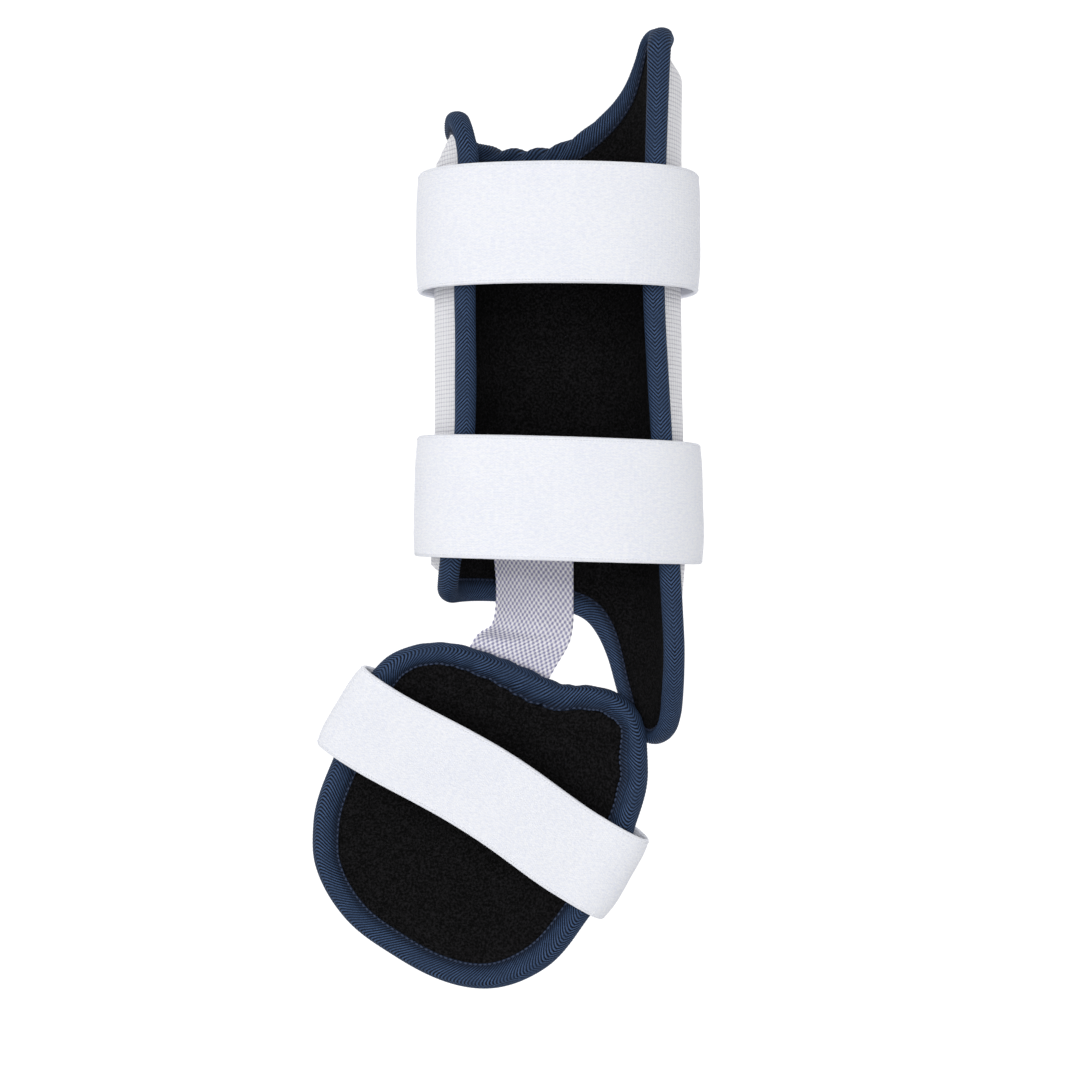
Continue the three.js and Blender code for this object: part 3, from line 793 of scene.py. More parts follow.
def binding_tape(finish, scene):
    """Navy herringbone: painted highlights on its thin ribs over painted shade in its grooves, and more
    painted shade along the tape's edges.
    """
    colours = scene.guard_colours
    rib, from_edge = finish.pattern()
    crest = abs((rib * math.pi).math("SINE"))
    fibre = finish.noise(grain=0.0005)
    worn = finish.noise(grain=0.008)
    # Painted shade along both edges of the tape, where its pressed edges sink into the creases beside the
    # lining and the cover
    edge = finish.ease(from_edge, low=0.0005, high=0.0045)
    sharp = finish.ease(worn, low=0.35, high=0.65) * 0.45 + 0.55
    # Painted light from the ribs' relief: lighter on the crests, darker in the grooves
    ribs_lit_and_shaded = finish.ease(crest + fibre * 0.6 - 0.3, low=0.45, high=1.1) * sharp + (1 - sharp) * 0.3
    share = ribs_lit_and_shaded * (0.65 + fibre * 0.5) * (0.25 + edge * 0.75)
    strand_pitch = 0.0008
    strands = (from_edge * (2 * math.pi / strand_pitch)).math("SINE")
    return finish.finish({
        "Base Color": finish.colours(colours.tape_groove_shade, colours.tape, share),
        "Roughness": 0.75,
        "Normal": finish.bump(fibre + strands * 0.2, depth=0.00015),
        "Specular IOR Level": 0.2,
    })


def white_elastic(finish, scene):
    """White woven elastic: fine lengthwise cords, mottled in short lengthwise streaks."""
    colours = scene.guard_colours
    along, across = finish.pattern()
    cord_pitch, pick_pitch = 0.001, 0.0017
    streaks_along, streaks_across = 480, 1300
    cords = (across * (2 * math.pi / cord_pitch)).math("SINE")
    picks = (along * (2 * math.pi / pick_pitch)).math("SINE")
    fibre = finish.noise(grain=0.0009, roughness=0.6)
    cloudy = finish.noise(grain=0.02)
    lengthwise = finish.node("ShaderNodeCombineXYZ", None,
                             {"X": along * streaks_along, "Y": across * streaks_across})
    streaks = finish.node("ShaderNodeTexNoise", {"noise_dimensions": "2D"},
                          {"Vector": lengthwise, "Scale": 1, "Detail": 2})
    mottle = fibre * 0.4 + streaks * 0.45 + cloudy * 0.15
    share = finish.ease(mottle + cords * picks * 0.05, low=0.3, high=0.68)
    return finish.finish({
        "Base Color": finish.colours(colours.elastic_shade, colours.elastic, share),
        "Roughness": 0.85,
        "Normal": finish.bump(cords * 0.3 + picks * 0.15 + fibre, depth=0.00012),
        "Specular IOR Level": 0.25,
    })


def link_webbing(finish, scene):
    """Pale plain-woven webbing, with painted shade in the gaps between its yarns and painted highlights on
    their crowns.
    """
    colours = scene.guard_colours
    sizes = scene.guard_sizes
    along, across = finish.pattern()
    warp = across * (math.pi / sizes.warp_pitch)
    weft = along * (math.pi / sizes.weft_pitch)
    slant = (warp * 0.5).math("SINE") * warp.math("SINE") * weft.math("SINE")
    weave = warp.math("COSINE") * weft.math("COSINE") - slant * LINK_SLANT
    fibre = finish.noise(grain=0.0004)
    worn = finish.noise(grain=0.01)
    # Painted light: lighter on the yarns' crowns as highlight, darker in the gaps between them as shade
    share = (weave * 0.75 + fibre * 0.8 + 0.14) * (0.8 + worn * 0.4)
    return finish.finish({
        "Base Color": finish.colours(colours.webbing_gap_shade, colours.webbing, share),
        "Roughness": 0.55,
        "Normal": finish.bump(fibre, depth=0.00012),
        "Specular IOR Level": 0.4,
    })


def shaded(colour, share):
    return tuple(channel * share for channel in colour)


def thread_finish(colour_name):
    """Sewing thread in one of the thread colours, a little darker between its fibres."""
    def make(finish, scene):
        colour = getattr(scene.guard_colours, colour_name)
        fibre = finish.noise(grain=0.00025)
        shade = shaded(colour, 0.7)
        return finish.finish({
            "Base Color": finish.colours(shade, colour, fibre * 1.4),
            "Roughness": 0.6,
            "Normal": finish.bump(fibre, depth=0.00008),
        })
    return make


# Pieces


def shin_lattice(columns, rows):
    """Places all over the shin's pattern: columns across it, rows from its lower to its upper edge."""
    s = shin_columns(columns)[:, None]
    share = np.linspace(0, 1, rows)[None, :]
    return np.broadcast_to(s, (columns, rows)), mix(shin_bottom(s), shin_top(s), share)


def lining_rise(outline, leg_share, x, y, seed, puff):
    """How far the lining stands up towards the leg: pressed under the tape, full beside it."""
    distance, walked = outline.nearest(x, y)
    taped = TAPE_FOLD + (TAPE_LEG - TAPE_FOLD) * leg_share(walked, -1)
    swell = smoothstep(distance - taped, *LINING_SWELL)
    uneven = sum(height * waves(x, y, seed + i, length) for i, (height, length) in enumerate(LINING_WAVES))
    return swell * (puff + uneven)


def under_link(s, y):
    """1 where the webbing presses the shin's lining down, 0 well away from it."""
    beside = smoothstep(np.abs(s - LINK_SHIN_S) - LINK_WIDTH / 2, *LINK_PRESS_BESIDE)
    below = smoothstep(y - LINK_TOP_Y, *LINK_PRESS_ABOVE)
    return beside * below


def wall_pieces(prefix, outline, places, to_space, thick, rise):
    """The cover and the padded lining of one wall, between its leg-side face and its depth."""
    x, y = places
    pattern = np.stack([x, y], -1) * MM
    depth = thick(x, y)
    off_tape = smoothstep(outline.distance(x, y) - TAPE_LEG, 0, COVER_WAVE_FADE)
    bulge = COVER_WAVE * waves(x, y, COVER_WAVE_SEED, COVER_WAVE_LENGTH) * off_tape
    inside = to_space(x, y, depth - COVER_THICK)
    outside = to_space(x, y, depth + np.minimum(bulge, 0))
    cover = slab_piece(prefix + "_cover", inside, outside, pattern,
                       finish_named("cover fabric", cover_fabric))
    leg_side = to_space(x, y, -rise)
    under_cover = to_space(x, y, depth - COVER_THICK - SEAT_GAP)
    lining = slab_piece(prefix + "_lining", leg_side, under_cover, pattern,
                        finish_named("lining fabric", lining_fabric))
    stand_for(cover, prefix + "_cover")
    stand_for(lining, prefix + "_lining")
    grid_area(outside)


class GUARD_OT_shin_wall(Operator):
    """Make the shin wall's white cover and black padded lining"""

    bl_idname = "guard.shin_wall"
    bl_label = "Shin wall"

    def execute(self, context):
        s, y = shin_lattice(SHIN_LATTICE, SHIN_LATTICE)
        puff = context.scene.guard_sizes.puff / MM
        rise = lining_rise(SHIN_EDGE, shin_leg_share, s, y, 3, puff) * (1 - under_link(s, y))
        outer_half = SHIN_HALF + SHIN_PAD_THICK * SHIN_ARC / SHIN_RADIUS
        flat = (2 * outer_half * MM, (y.max() - y.min()) * MM)
        wall_pieces("shin", SHIN_EDGE, (s, y), shin_point, shin_thick, rise)
        return {"FINISHED"}


class GUARD_OT_instep_shield(Operator):
    """Make the instep shield's white cover and black padded lining"""

    bl_idname = "guard.instep_shield"
    bl_label = "Instep shield"

    def execute(self, context):
        a, b = foot_lattice(FOOT_LATTICE)
        puff = context.scene.guard_sizes.puff / MM
        rise = lining_rise(FOOT_EDGE, foot_leg_share, a, b, 7, puff)
        flat = ((a.max() - a.min()) * MM, (b.max() - b.min()) * MM)
        wall_pieces("foot", FOOT_EDGE, (a, b), foot_point, foot_thick, rise)
        return {"FINISHED"}


class Tape:
    """Binding tape folded over a wall's edge, by places along the edge and across from the fold."""

    FOLD_STEPS = 60
    READ_STEP = 0.2
    # The fullness is a height, a distance from the tape's edge and a spread
    FULL_BY_FOLD = 1.05, 6.5, 2.6
    THIN_EDGE = 1.1
    THIN_EDGE_FROM = 4, 0.4
    CHEVRON = 1.1
    RIB_LEVEL = 0.6
    RIB_FADE = 1.2
    STITCH_IN = 0.6
    SAMPLES_PER_RIB = 4
    FOLD_PLACES = 9
    EDGE_PLACES = np.array([4.2, 3.6, 3, 2.4, 1.8, 1.3, 0.9, 0.5, 0.2, 0])
    PRESSED_GAP = 0.14

    def __init__(self, outline, edge_thick, thick, to_space, unevenness, leg_share, spine):
        self.outline = outline
        self.edge_thick = edge_thick
        self.thick = thick
        self.to_space = to_space
        self.unevenness = unevenness
        self.leg_share = leg_share
        self.spine = spine
        middle = edge_thick / 2
        deep = middle + TAPE_GAP + TAPE_THICK
        turn = np.linspace(-math.pi / 2, math.pi / 2, self.FOLD_STEPS)
        fold_reach = TAPE_BEND + TAPE_FOLD
        inward = np.concatenate([[TAPE_LEG], TAPE_FOLD - fold_reach * np.cos(turn), [TAPE_LEG]])
        depth = np.concatenate([[middle - deep], middle + deep * np.sin(turn), [middle + deep]])
        walked = np.concatenate([[0], np.cumsum(np.hypot(np.diff(inward), np.diff(depth)))])
        self.across = walked - walked[-1] / 2
        self.half = walked[-1] / 2
        self.section = np.column_stack([inward, depth])
        inside = [(TAPE_LEG, self.PRESSED_GAP), (TAPE_LEG / 2, TAPE_GAP), (-TAPE_GAP, TAPE_GAP)]
        self.hidden = np.array([(inward, edge_thick + gap) for inward, gap in inside]
                               + [(inward, -gap) for inward, gap in reversed(inside)])
        self.hidden_side = np.array([1, 1, 1, -1, -1, -1])

    def read(self, across):
        """The section's place and its outward direction, in the plane across the edge."""
        def at(where):
            return np.stack([np.interp(where, self.across, column) for column in self.section.T], -1)
        after = np.minimum(across + self.READ_STEP, self.half)
        before = np.maximum(across - self.READ_STEP, -self.half)
        ahead = at(after) - at(before)
        out = unit(np.stack([-ahead[..., 1], ahead[..., 0]], -1))
        return at(across), out

    def drawn(self, walked, side, inward):
        """How far in a place lies once its leg has the width that it has there."""
        share = self.leg_share(walked, side)
        return np.where(inward > TAPE_FOLD, TAPE_FOLD + (inward - TAPE_FOLD) * share, inward)

    def over_padding(self, side, on_pattern):
        """How much deeper the outer leg lies where the padding under it swells."""
        swell = self.thick(on_pattern[..., 0], on_pattern[..., 1]) - self.edge_thick
        return np.where(side > 0, swell, 0)

    def shape(self, from_edge):
        """The sewn tape's rise and fall: full beside its fold, pressed thin at its edges."""
        full = ridge(from_edge, *self.FULL_BY_FOLD)
        return full - self.THIN_EDGE * smoothstep(from_edge, *self.THIN_EDGE_FROM)

    def surface(self, walked, across, lift):
        """Places on the tape's outer face, raised by a lift."""
        walked, across, lift = np.broadcast_arrays(walked, across, lift)
        place, out = self.read(across)
        from_edge = self.half - np.abs(across)
        shift_in, shift_out = self.unevenness(walked, across, from_edge)
        rise = lift + self.shape(from_edge) + shift_out
        inward = self.drawn(walked, across, place[..., 0]) + out[..., 0] * rise + shift_in
        on_pattern = self.outline.place(walked, inward)
        depth = place[..., 1] + out[..., 1] * rise + self.over_padding(across, on_pattern)
        return self.to_space(on_pattern[..., 0], on_pattern[..., 1], depth)

    def mesh(self, name, rib_pitch, rib_height):
        """The tape as a closed ring whose rows lie along its slanting ribs."""
        ribs = round(self.outline.length / rib_pitch)
        steps = ribs * self.SAMPLES_PER_RIB
        fold = np.linspace(0, self.half - self.EDGE_PLACES[0], self.FOLD_PLACES)[:-1]
        half = np.concatenate([fold, self.half - self.EDGE_PLACES])
        across = np.concatenate([-half[::-1], half[1:]])
        from_edge = self.half - np.abs(across)
        row = np.arange(steps)
        crest = np.abs(np.sin(math.pi * row / self.SAMPLES_PER_RIB))
        start = row[:, None] * self.outline.length / steps
        relief = (crest[:, None] - self.RIB_LEVEL) * rib_height * smoothstep(from_edge, 0, self.RIB_FADE)
        outer = self.surface(start + self.CHEVRON * np.abs(across - self.spine), across[None, :], relief)
        slant = self.CHEVRON * (self.half - self.spine * np.linspace(1, -1, len(self.hidden)))
        beside = start + slant
        under = self.outline.place(beside, self.drawn(beside, self.hidden_side, self.hidden[:, 0]))
        inner = self.to_space(under[..., 0], under[..., 1],
                              self.hidden[:, 1] + self.over_padding(self.hidden_side, under))
        grid = np.concatenate([outer, inner], axis=1)
        corners = grid.shape[1]
        index = np.arange(steps * corners).reshape(steps, corners)
        ahead, aside = np.roll(index, -1, axis=0), np.roll(index, -1, axis=1)
        points = grid.reshape(-1, 3)
        faces = quads(index, ahead, np.roll(ahead, -1, axis=1), aside)
        rib = np.arange(steps + 1)[:, None] / self.SAMPLES_PER_RIB * np.ones(corners + 1)
        side = np.concatenate([from_edge, np.zeros(len(self.hidden) + 1)]) * MM
        sheet = np.stack([rib, np.broadcast_to(side, rib.shape)], -1)
        corner_places = sheet[:-1, :-1], sheet[1:, :-1], sheet[1:, 1:], sheet[:-1, 1:]
        places = np.stack(corner_places, -2).reshape(-1, 4, 2)
        turned = outward_faces(points, faces)
        if turned is not faces:
            places = places[:, ::-1]
        return make_mesh(name, points, turned, places)


def near(walked, outline, x, y, spread):
    """1 beside the place on an outline that is nearest to a point, falling off along it both ways."""
    gap = walked - outline.walked_to(x, y)
    gap = np.mod(gap + outline.length / 2, outline.length) - outline.length / 2
    return np.exp(-(gap / spread) ** 2)


def near_shin(walked, edge, s, spread):
    """1 beside a place on the top or bottom edge of the shin wall, falling off along it both ways."""
    height = shin_top(s) if edge == "top" else shin_bottom(s)
    return near(walked, SHIN_EDGE, s, float(height), spread)


def shin_gathers(walked, across, from_edge):
    """Unevenness of the shin's tape: gathers in the front of the top edge, a full corner and a full tip."""
    gathered = near_shin(walked, "top", GATHERS_AT, GATHERS_SPREAD)
    wander = GATHER_WANDER * waves(walked, 0 * across, 9, 50)
    turn = math.pi * (walked + GATHER_SLANT * across) / GATHER_PITCH + wander
    lump = GATHER_LUMP * np.abs(np.cos(turn)) - GATHER_LEVEL
    fold = ridge(across, FULL_CORNER, 0, FULL_CORNER_FOLD)
    corner = near_shin(walked, "bottom", FULL_CORNER_AT, FULL_CORNER_SPREAD) * fold
    tip = FULL_TIP * near_shin(walked, "top", FULL_TIP_AT, FULL_TIP_SPREAD)
    soft = waves(walked, across * SOFT_ACROSS, 21, 46)
    shift_in = SHIN_SOFT_SHIFT * soft - gathered * GATHER_SHIFT * lump - corner
    loose = smoothstep(from_edge, *GATHER_LOOSE)
    return shift_in, loose * (gathered * GATHER_RISE * lump + tip + SHIN_SOFT_RISE * soft)


def shin_leg_share(walked, side):
    """The leg-side leg is narrow where the edge curves in, the outer leg at three of the corners."""
    def narrowed(places):
        return sum(share * near_shin(walked, edge, s, spread) for edge, s, spread, share in places)
    return 1 - np.where(side < 0, narrowed(SHIN_INNER_NARROW), narrowed(SHIN_OUTER_NARROW))


def foot_puckers(walked, across, from_edge):
    """Unevenness of the shield's tape: puckers where it turns in, a frilled edge and a pressed corner."""
    puckered = near(walked, FOOT_EDGE, *PUCKERS)
    wander = PUCKER_WANDER * waves(walked, across, 5, 36)
    pucker = np.sin(2 * math.pi * (walked + PUCKER_SLANT * across) / PUCKER_PITCH + wander)
    soft = FOOT_SOFT * waves(walked, across * SOFT_ACROSS, 23, 40)
    leg_side = smoothstep(-across, 2, 9)
    frilled = near(walked, FOOT_EDGE, *FRILL) * leg_side
    frill = FRILL_SHIFT * waves(walked, 0 * across, 6, 9)
    lip = ridge(from_edge, *FRILL_LIP) + ridge(from_edge, *FRILL_GROOVE)
    pressed = CORNER_PRESS * near(walked, FOOT_EDGE, *PRESSED_CORNER)
    shift_in = leg_side * puckered * PUCKER_SHIFT * pucker + frilled * frill + soft + pressed
    return shift_in, puckered * PUCKER_RISE * pucker + frilled * lip + soft


def foot_leg_share(walked, side):
    """The leg-side leg is wide where the webbing is sewn through it and narrow at the corners beside."""
    wide = near(walked, FOOT_EDGE, *LINK_SEAM)
    corners = sum(near(walked, FOOT_EDGE, *corner) for corner in FOOT_NARROW_CORNERS)
    return np.where(side < 0, 1 + LINK_SEAM_WIDER * wide - FOOT_CORNER_NARROWER * corners, 1)


def shin_tape():
    return Tape(SHIN_EDGE, SHIN_EDGE_THICK, shin_thick, shin_point, shin_gathers, shin_leg_share, 0)


def foot_tape():
    return Tape(FOOT_EDGE, FOOT_EDGE_THICK, foot_thick, foot_point, foot_puckers, foot_leg_share,
                FOOT_SPINE)


class GUARD_OT_bindings(Operator):
    """Fold the navy herringbone tape over the edges of both walls"""

    bl_idname = "guard.bindings"
    bl_label = "Edge bindings"

    def execute(self, context):
        sizes = context.scene.guard_sizes
        material = finish_named("binding tape", binding_tape)
        for node, tape in (("shin_binding", shin_tape()), ("foot_binding", foot_tape())):
            mesh = tape.mesh(node, sizes.rib_pitch / MM, sizes.rib_height / MM)
            stand_for(show(mesh, material), node)
        return {"FINISHED"}


def shin_strap_line(y, slope, count):
    """One line along a shin strap at height y, from its left seat over the opening to its right seat."""
    halves = []
    for side in (-1, 1):
        angle = np.radians(np.linspace(STRAP_SEAT_FROM, STRAP_SEAT_TO, STRAP_SEAT_STEPS))
        s = side * (SHIN_FLAT_HALF + angle * SHIN_RADIUS / shin_turn(side, y))
        seat = shin_point(s, y, SHIN_PAD_THICK + SEAT_GAP + ELASTIC_THICK / 2)
        leave = math.radians(STRAP_SEAT_TO)
        away = np.array([side * math.cos(leave), 0, math.sin(leave)]) * STRAP_SEAT_HANDLE
        crown = np.array([0, y, STRAP_CROWN_HEIGHT])
        before_crown = np.array([side * STRAP_CROWN_HANDLE, y, STRAP_CROWN_HEIGHT])
        rise = bezier(seat[-1], seat[-1] + away, before_crown, crown, STRAP_RISE_STEPS)
        halves.append(np.vstack([seat[:-1], rise]))
    left, right = halves
    line = np.vstack([left, right[::-1][1:]])
    line[:, 1] += line[:, 0] * math.tan(math.radians(slope))
    return spaced(line, count)


def foot_strap_line(b, count):
    """One line along the shield's strap in the shield's frame, from one sewn end to the other."""
    rows = FOOT_STRAP_B + FOOT_STRAP_WIDTH * np.array([-0.5, 0, 0.5])
    middle = sum(end["height"] for end in FOOT_STRAP_ENDS) / 2 + FOOT_STRAP_CROWN
    halves = []
    for end in FOOT_STRAP_ENDS:
        side, seat_to, height = end["side"], end["seat_to"], end["height"]
        sewn_on = foot_thick(np.full(3, side * end["seat_from"]), rows).max()
        share = np.linspace(0, 1, FOOT_STRAP_SEAT_STEPS)
        depth = mix(sewn_on, FOOT_PAD_THICK, share) + SEAT_GAP + ELASTIC_THICK / 2
        seat = dish_point(side * mix(end["seat_from"], seat_to, share), b, depth)
        handle = (end["reach"] - seat_to) / FOOT_STRAP_TURN_REACH
        away = unit(np.array([side, 0, seat_to / FOOT_RADIUS_ACROSS])) * handle
        turned = np.array([side * seat_to, b, height])
        before_turned = np.array([side * (seat_to + handle), b, height])
        turn = bezier(seat[-1], seat[-1] + away, before_turned, turned, FOOT_STRAP_TURN_STEPS)
        left = np.linspace(1, 0, FOOT_STRAP_SPAN_STEPS)[1:]
        bowed = b + FOOT_STRAP_BOW * (1 - left ** 2) ** 2
        span = np.column_stack([side * seat_to * left, bowed, mix(middle, height, left ** 2)])
        halves.append(np.vstack([seat[:-1], turn, span]))
    return spaced(np.vstack([halves[0], halves[1][::-1][1:]]), count)


def band_places(width):
    """Places across a band, close together in its rounded edges."""
    half = width / 2
    body = np.linspace(BAND_EDGE[-1] - half, half - BAND_EDGE[-1], BAND_BODY_PLACES)
    return np.concatenate([BAND_EDGE - half, body[1:-1], half - BAND_EDGE[::-1]])


def band_depth(across, width, thick):
    """Half the thickness of a band: rounded off at its edges, a little fuller beside them."""
    from_edge = width / 2 - np.abs(across)
    rounded = np.sqrt(np.clip(1 - (1 - np.clip(from_edge, 0, 1)) ** 2, BAND_THINNEST, 1))
    return thick / 2 * rounded + ridge(from_edge, *BAND_FULL)


class Band:
    """A strap or webbing by the middle of its thickness, as lines[place across][place along]."""

    def __init__(self, lines, across, thick):
        self.lines = lines
        self.across = across
        self.thick = thick
        self.width = across[-1] - across[0]
        self.normals = grid_normals(lines)
        middle = lines[len(lines) // 2]
        self.along = np.concatenate([[0], np.cumsum(np.linalg.norm(np.diff(middle, axis=0), axis=1))])

    def piece(self, name, material, relief=0):
        """The band as a closed piece with rounded edges."""
        u, v = np.meshgrid(self.across, self.along, indexing="ij")
        half = band_depth(u, self.width, self.thick)[..., None] * self.normals
        raised = self.lines + self.normals * np.asarray(relief)[..., None]
        return slab_piece(name, raised - half, raised + half, np.stack([v, u], -1) * MM, material)

    def read(self, grid, across, along):
        """Values between a grid's points, at places across and along the band."""
        i = np.interp(across, self.across, np.arange(len(self.across)))
        j = np.interp(along, self.along, np.arange(len(self.along)))
        row = np.minimum(i.astype(int), len(self.across) - 2)
        column = np.minimum(j.astype(int), len(self.along) - 2)
        down, right = (i - row)[:, None], (j - column)[:, None]
        near_row = mix(grid[row, column], grid[row, column + 1], right)
        next_row = mix(grid[row + 1, column], grid[row + 1, column + 1], right)
        return mix(near_row, next_row, down)

    def seam(self, corners, spacing):
        """Stitches on the outer face along a path, whose corners are places along and across the band."""
        corners = np.array(corners, float)
        length = np.linalg.norm(np.diff(corners, axis=0), axis=1).sum()
        along, across = spaced(corners, max(2, round(length / spacing))).T
        facings = -unit(self.read(self.normals, across, along))
        points = self.read(self.lines, across, along) + facings * (self.thick / 2 + LOOP_LIFT)
        return points, unit(np.gradient(points, axis=0)), facings

    def loops(self, spacing):
        """The row of small loops inside each woven edge."""
        side = self.width / 2 - LOOP_INSET
        start, end = self.along[0] + LOOP_INSET, self.along[-1] - LOOP_INSET
        rows = [[(start, place), (end, place)] for place in (-side, side)]
        return join_seams([self.seam(row, spacing) for row in rows])


def waved(lines, seed):
    """A strap's lines with a slight wave in them."""
    row, column = np.indices(lines.shape[:2])
    row_gap, column_gap = 1.6, 1.2
    wave = STRAP_WAVE * waves(row * row_gap, column * column_gap, seed, STRAP_WAVE_LENGTH)
    return lines + wave[..., None] * grid_normals(lines)


def rounded_sides(lines, across, width, low, high):
    """A strap's lines with the corners of its turned sides drawn in, once they are clear of their seats."""
    corner = (2 * across[:, None] / width) ** 4 * smoothstep(lines[..., 2], low, high)
    drawn = lines.copy()
    drawn[..., 0] *= 1 - STRAP_SIDE_ROUND * corner
    return drawn


def shin_strap_band(name):
    strap = SHIN_STRAPS[name]
    across = band_places(strap["width"])
    lines = np.stack([shin_strap_line(strap["y"] + place, strap["slope"], STRAP_STEPS) for place in across])
    rounded = rounded_sides(lines, across, strap["width"], *SHIN_STRAP_ROUND)
    return Band(waved(rounded, len(name)), across, ELASTIC_THICK)


def foot_strap_band():
    across = band_places(FOOT_STRAP_WIDTH)
    lines = np.stack([foot_strap_line(FOOT_STRAP_B + place, STRAP_STEPS) for place in across])
    rounded = rounded_sides(lines, across, FOOT_STRAP_WIDTH, *FOOT_STRAP_ROUND)
    return Band(waved(from_foot(rounded), FOOT_STRAP_SEED), across, ELASTIC_THICK)


def strap_bands():
    bands = {name: shin_strap_band(name) for name in SHIN_STRAPS}
    bands["foot_strap"] = foot_strap_band()
    return bands


class GUARD_OT_straps(Operator):
    """Fit the white elastic straps of the shin wall and of the instep shield"""

    bl_idname = "guard.straps"
    bl_label = "Elastic straps"

    def execute(self, context):
        material = finish_named("white elastic", white_elastic)
        for name, band in strap_bands().items():
            stand_for(band.piece(name, material), name)
        return {"FINISHED"}


def rounded_line(stations, per_span):
    """A centripetal curve through stations, as points."""
    first = 2 * stations[0] - stations[1]
    last = 2 * stations[-1] - stations[-2]
    held = np.vstack([first, stations, last])
    gap = np.sqrt(np.linalg.norm(np.diff(held, axis=0), axis=1))
    share = np.linspace(0, 1, per_span, endpoint=False)[:, None]
    points = []
    for i in range(1, len(held) - 2):
        before, span, after = gap[i - 1:i + 2]
        p, q, r, t = held[i - 1:i + 3]
        leave = ((q - p) / before - (r - p) / (before + span) + (r - q) / span) * span
        arrive = ((r - q) / span - (t - q) / (span + after) + (t - r) / after) * span
        ease = share ** 2 * (3 - 2 * share)
        points.append(mix(q, r, ease) + share * (1 - share) * ((1 - share) * leave - share * arrive))
    return np.vstack([*points, stations[-1:]])


def link_line(across, count):
    """One line along the webbing, from the shin's lining over both bound edges to under the shield."""
    s = LINK_SHIN_S + across
    a = LINK_FOOT_A + across * LINK_FOOT_NARROW
    on_lining = -(SEAT_GAP + LINK_THICK / 2)
    on_tape = TAPE_GAP + TAPE_THICK + LINK_CLEAR + LINK_THICK / 2
    from_edge, lift = np.array(LINK_SHIN_STATIONS, float).T
    on_shin = shin_point(s, shin_bottom(np.array(s)) + from_edge, mix(on_lining, -on_tape, lift))
    b = LINK_FOOT_EDGE_B + LINK_FOOT_EDGE_SLOPE * a - np.array(LINK_FOOT_STATIONS, float)
    under_cover = foot_thick(np.full(len(b), a), b) + SEAT_GAP + LINK_FOOT_CLEAR + LINK_THICK / 2
    on_foot = foot_point(a, b, np.maximum(FOOT_EDGE_THICK + on_tape, under_cover))
    share = mix(*LINK_HUMP_SHARES, across / LINK_WIDTH + 0.5)
    shares = np.array([LINK_HUMP_SIDE_SHARE, share, share])
    hump = mix(on_shin[-1], on_foot[0], shares) + np.array([0, 0, LINK_HUMP])
    stations = np.vstack([shin_point(s, LINK_TOP_Y, on_lining), on_shin, hump, on_foot])
    return spaced(rounded_line(stations, LINK_STEPS_PER_SPAN), count)


def eased_sideways(lines, spread):
    """Lines with their sideways bends eased over a number of points along them, and their ends kept."""
    reach = 3 * spread
    kernel = np.exp(-0.5 * (np.arange(-reach, reach + 1) / spread) ** 2)
    eased = lines.copy()
    for line in eased:
        x = line[:, 0]
        before = 2 * x[0] - x[reach:0:-1]
        after = 2 * x[-1] - x[-2:-reach - 2:-1]
        line[:, 0] = np.convolve(np.concatenate([before, x, after]), kernel / kernel.sum(), "valid")
    return eased


def link_band(warp_pitch, weft_pitch):
    """The webbing, with a few points to each of its yarns both ways."""
    columns = round(LINK_WIDTH / warp_pitch) * LINK_SAMPLES_PER_YARN + 1
    across = np.linspace(-LINK_WIDTH / 2, LINK_WIDTH / 2, columns)
    middle = link_line(0.0, LINK_MEASURED_POINTS)
    length = np.linalg.norm(np.diff(middle, axis=0), axis=1).sum()
    rows = round(length / weft_pitch) * LINK_SAMPLES_PER_YARN + 1
    coarse = np.linspace(-LINK_WIDTH / 2, LINK_WIDTH / 2, LINK_COARSE_LINES)
    coarse_lines = np.stack([link_line(place, rows) for place in coarse])
    coarse_lines = eased_sideways(coarse_lines, round(LINK_EASE * rows / length))
    i = np.interp(across, coarse, np.arange(len(coarse)))
    low = np.minimum(i.astype(int), len(coarse) - 2)
    lines = mix(coarse_lines[low], coarse_lines[low + 1], (i - low)[:, None, None])
    return Band(lines, across, LINK_THICK - LINK_YARN_ROOM)


class GUARD_OT_link(Operator):
    """Weave the webbing that links the shin wall to the instep shield"""

    bl_idname = "guard.link"
    bl_label = "Webbing link"

    def execute(self, context):
        sizes = context.scene.guard_sizes
        warp, weft = sizes.warp_pitch / MM, sizes.weft_pitch / MM
        band = link_band(warp, weft)
        u, v = np.meshgrid(band.across, band.along, indexing="ij")
        warp_turn, weft_turn = math.pi * u / warp, math.pi * v / weft
        slant = np.sin(warp_turn / 2) * np.sin(warp_turn) * np.sin(weft_turn)
        weave = np.cos(warp_turn) * np.cos(weft_turn) - LINK_SLANT * slant
        crease = ridge(band.lines[..., 1], *LINK_CREASE)
        relief = crease - weave * sizes.yarn_height / MM / 2
        from_edge = LINK_WIDTH / 2 - np.abs(u)
        edge = np.clip(1 - from_edge / LINK_SCALLOP_BAND, 0, 1)
        scallop = np.sign(u) * edge * LINK_SCALLOP * np.cos(weft_turn)
        sideways = np.gradient(band.lines, axis=0) / np.gradient(band.across)[:, None, None]
        band.lines += scallop[..., None] * sideways
        piece = band.piece("link_webbing", finish_named("webbing", link_webbing), relief)
        stand_for(piece, "link_webbing")
        return {"FINISHED"}


# Sewing


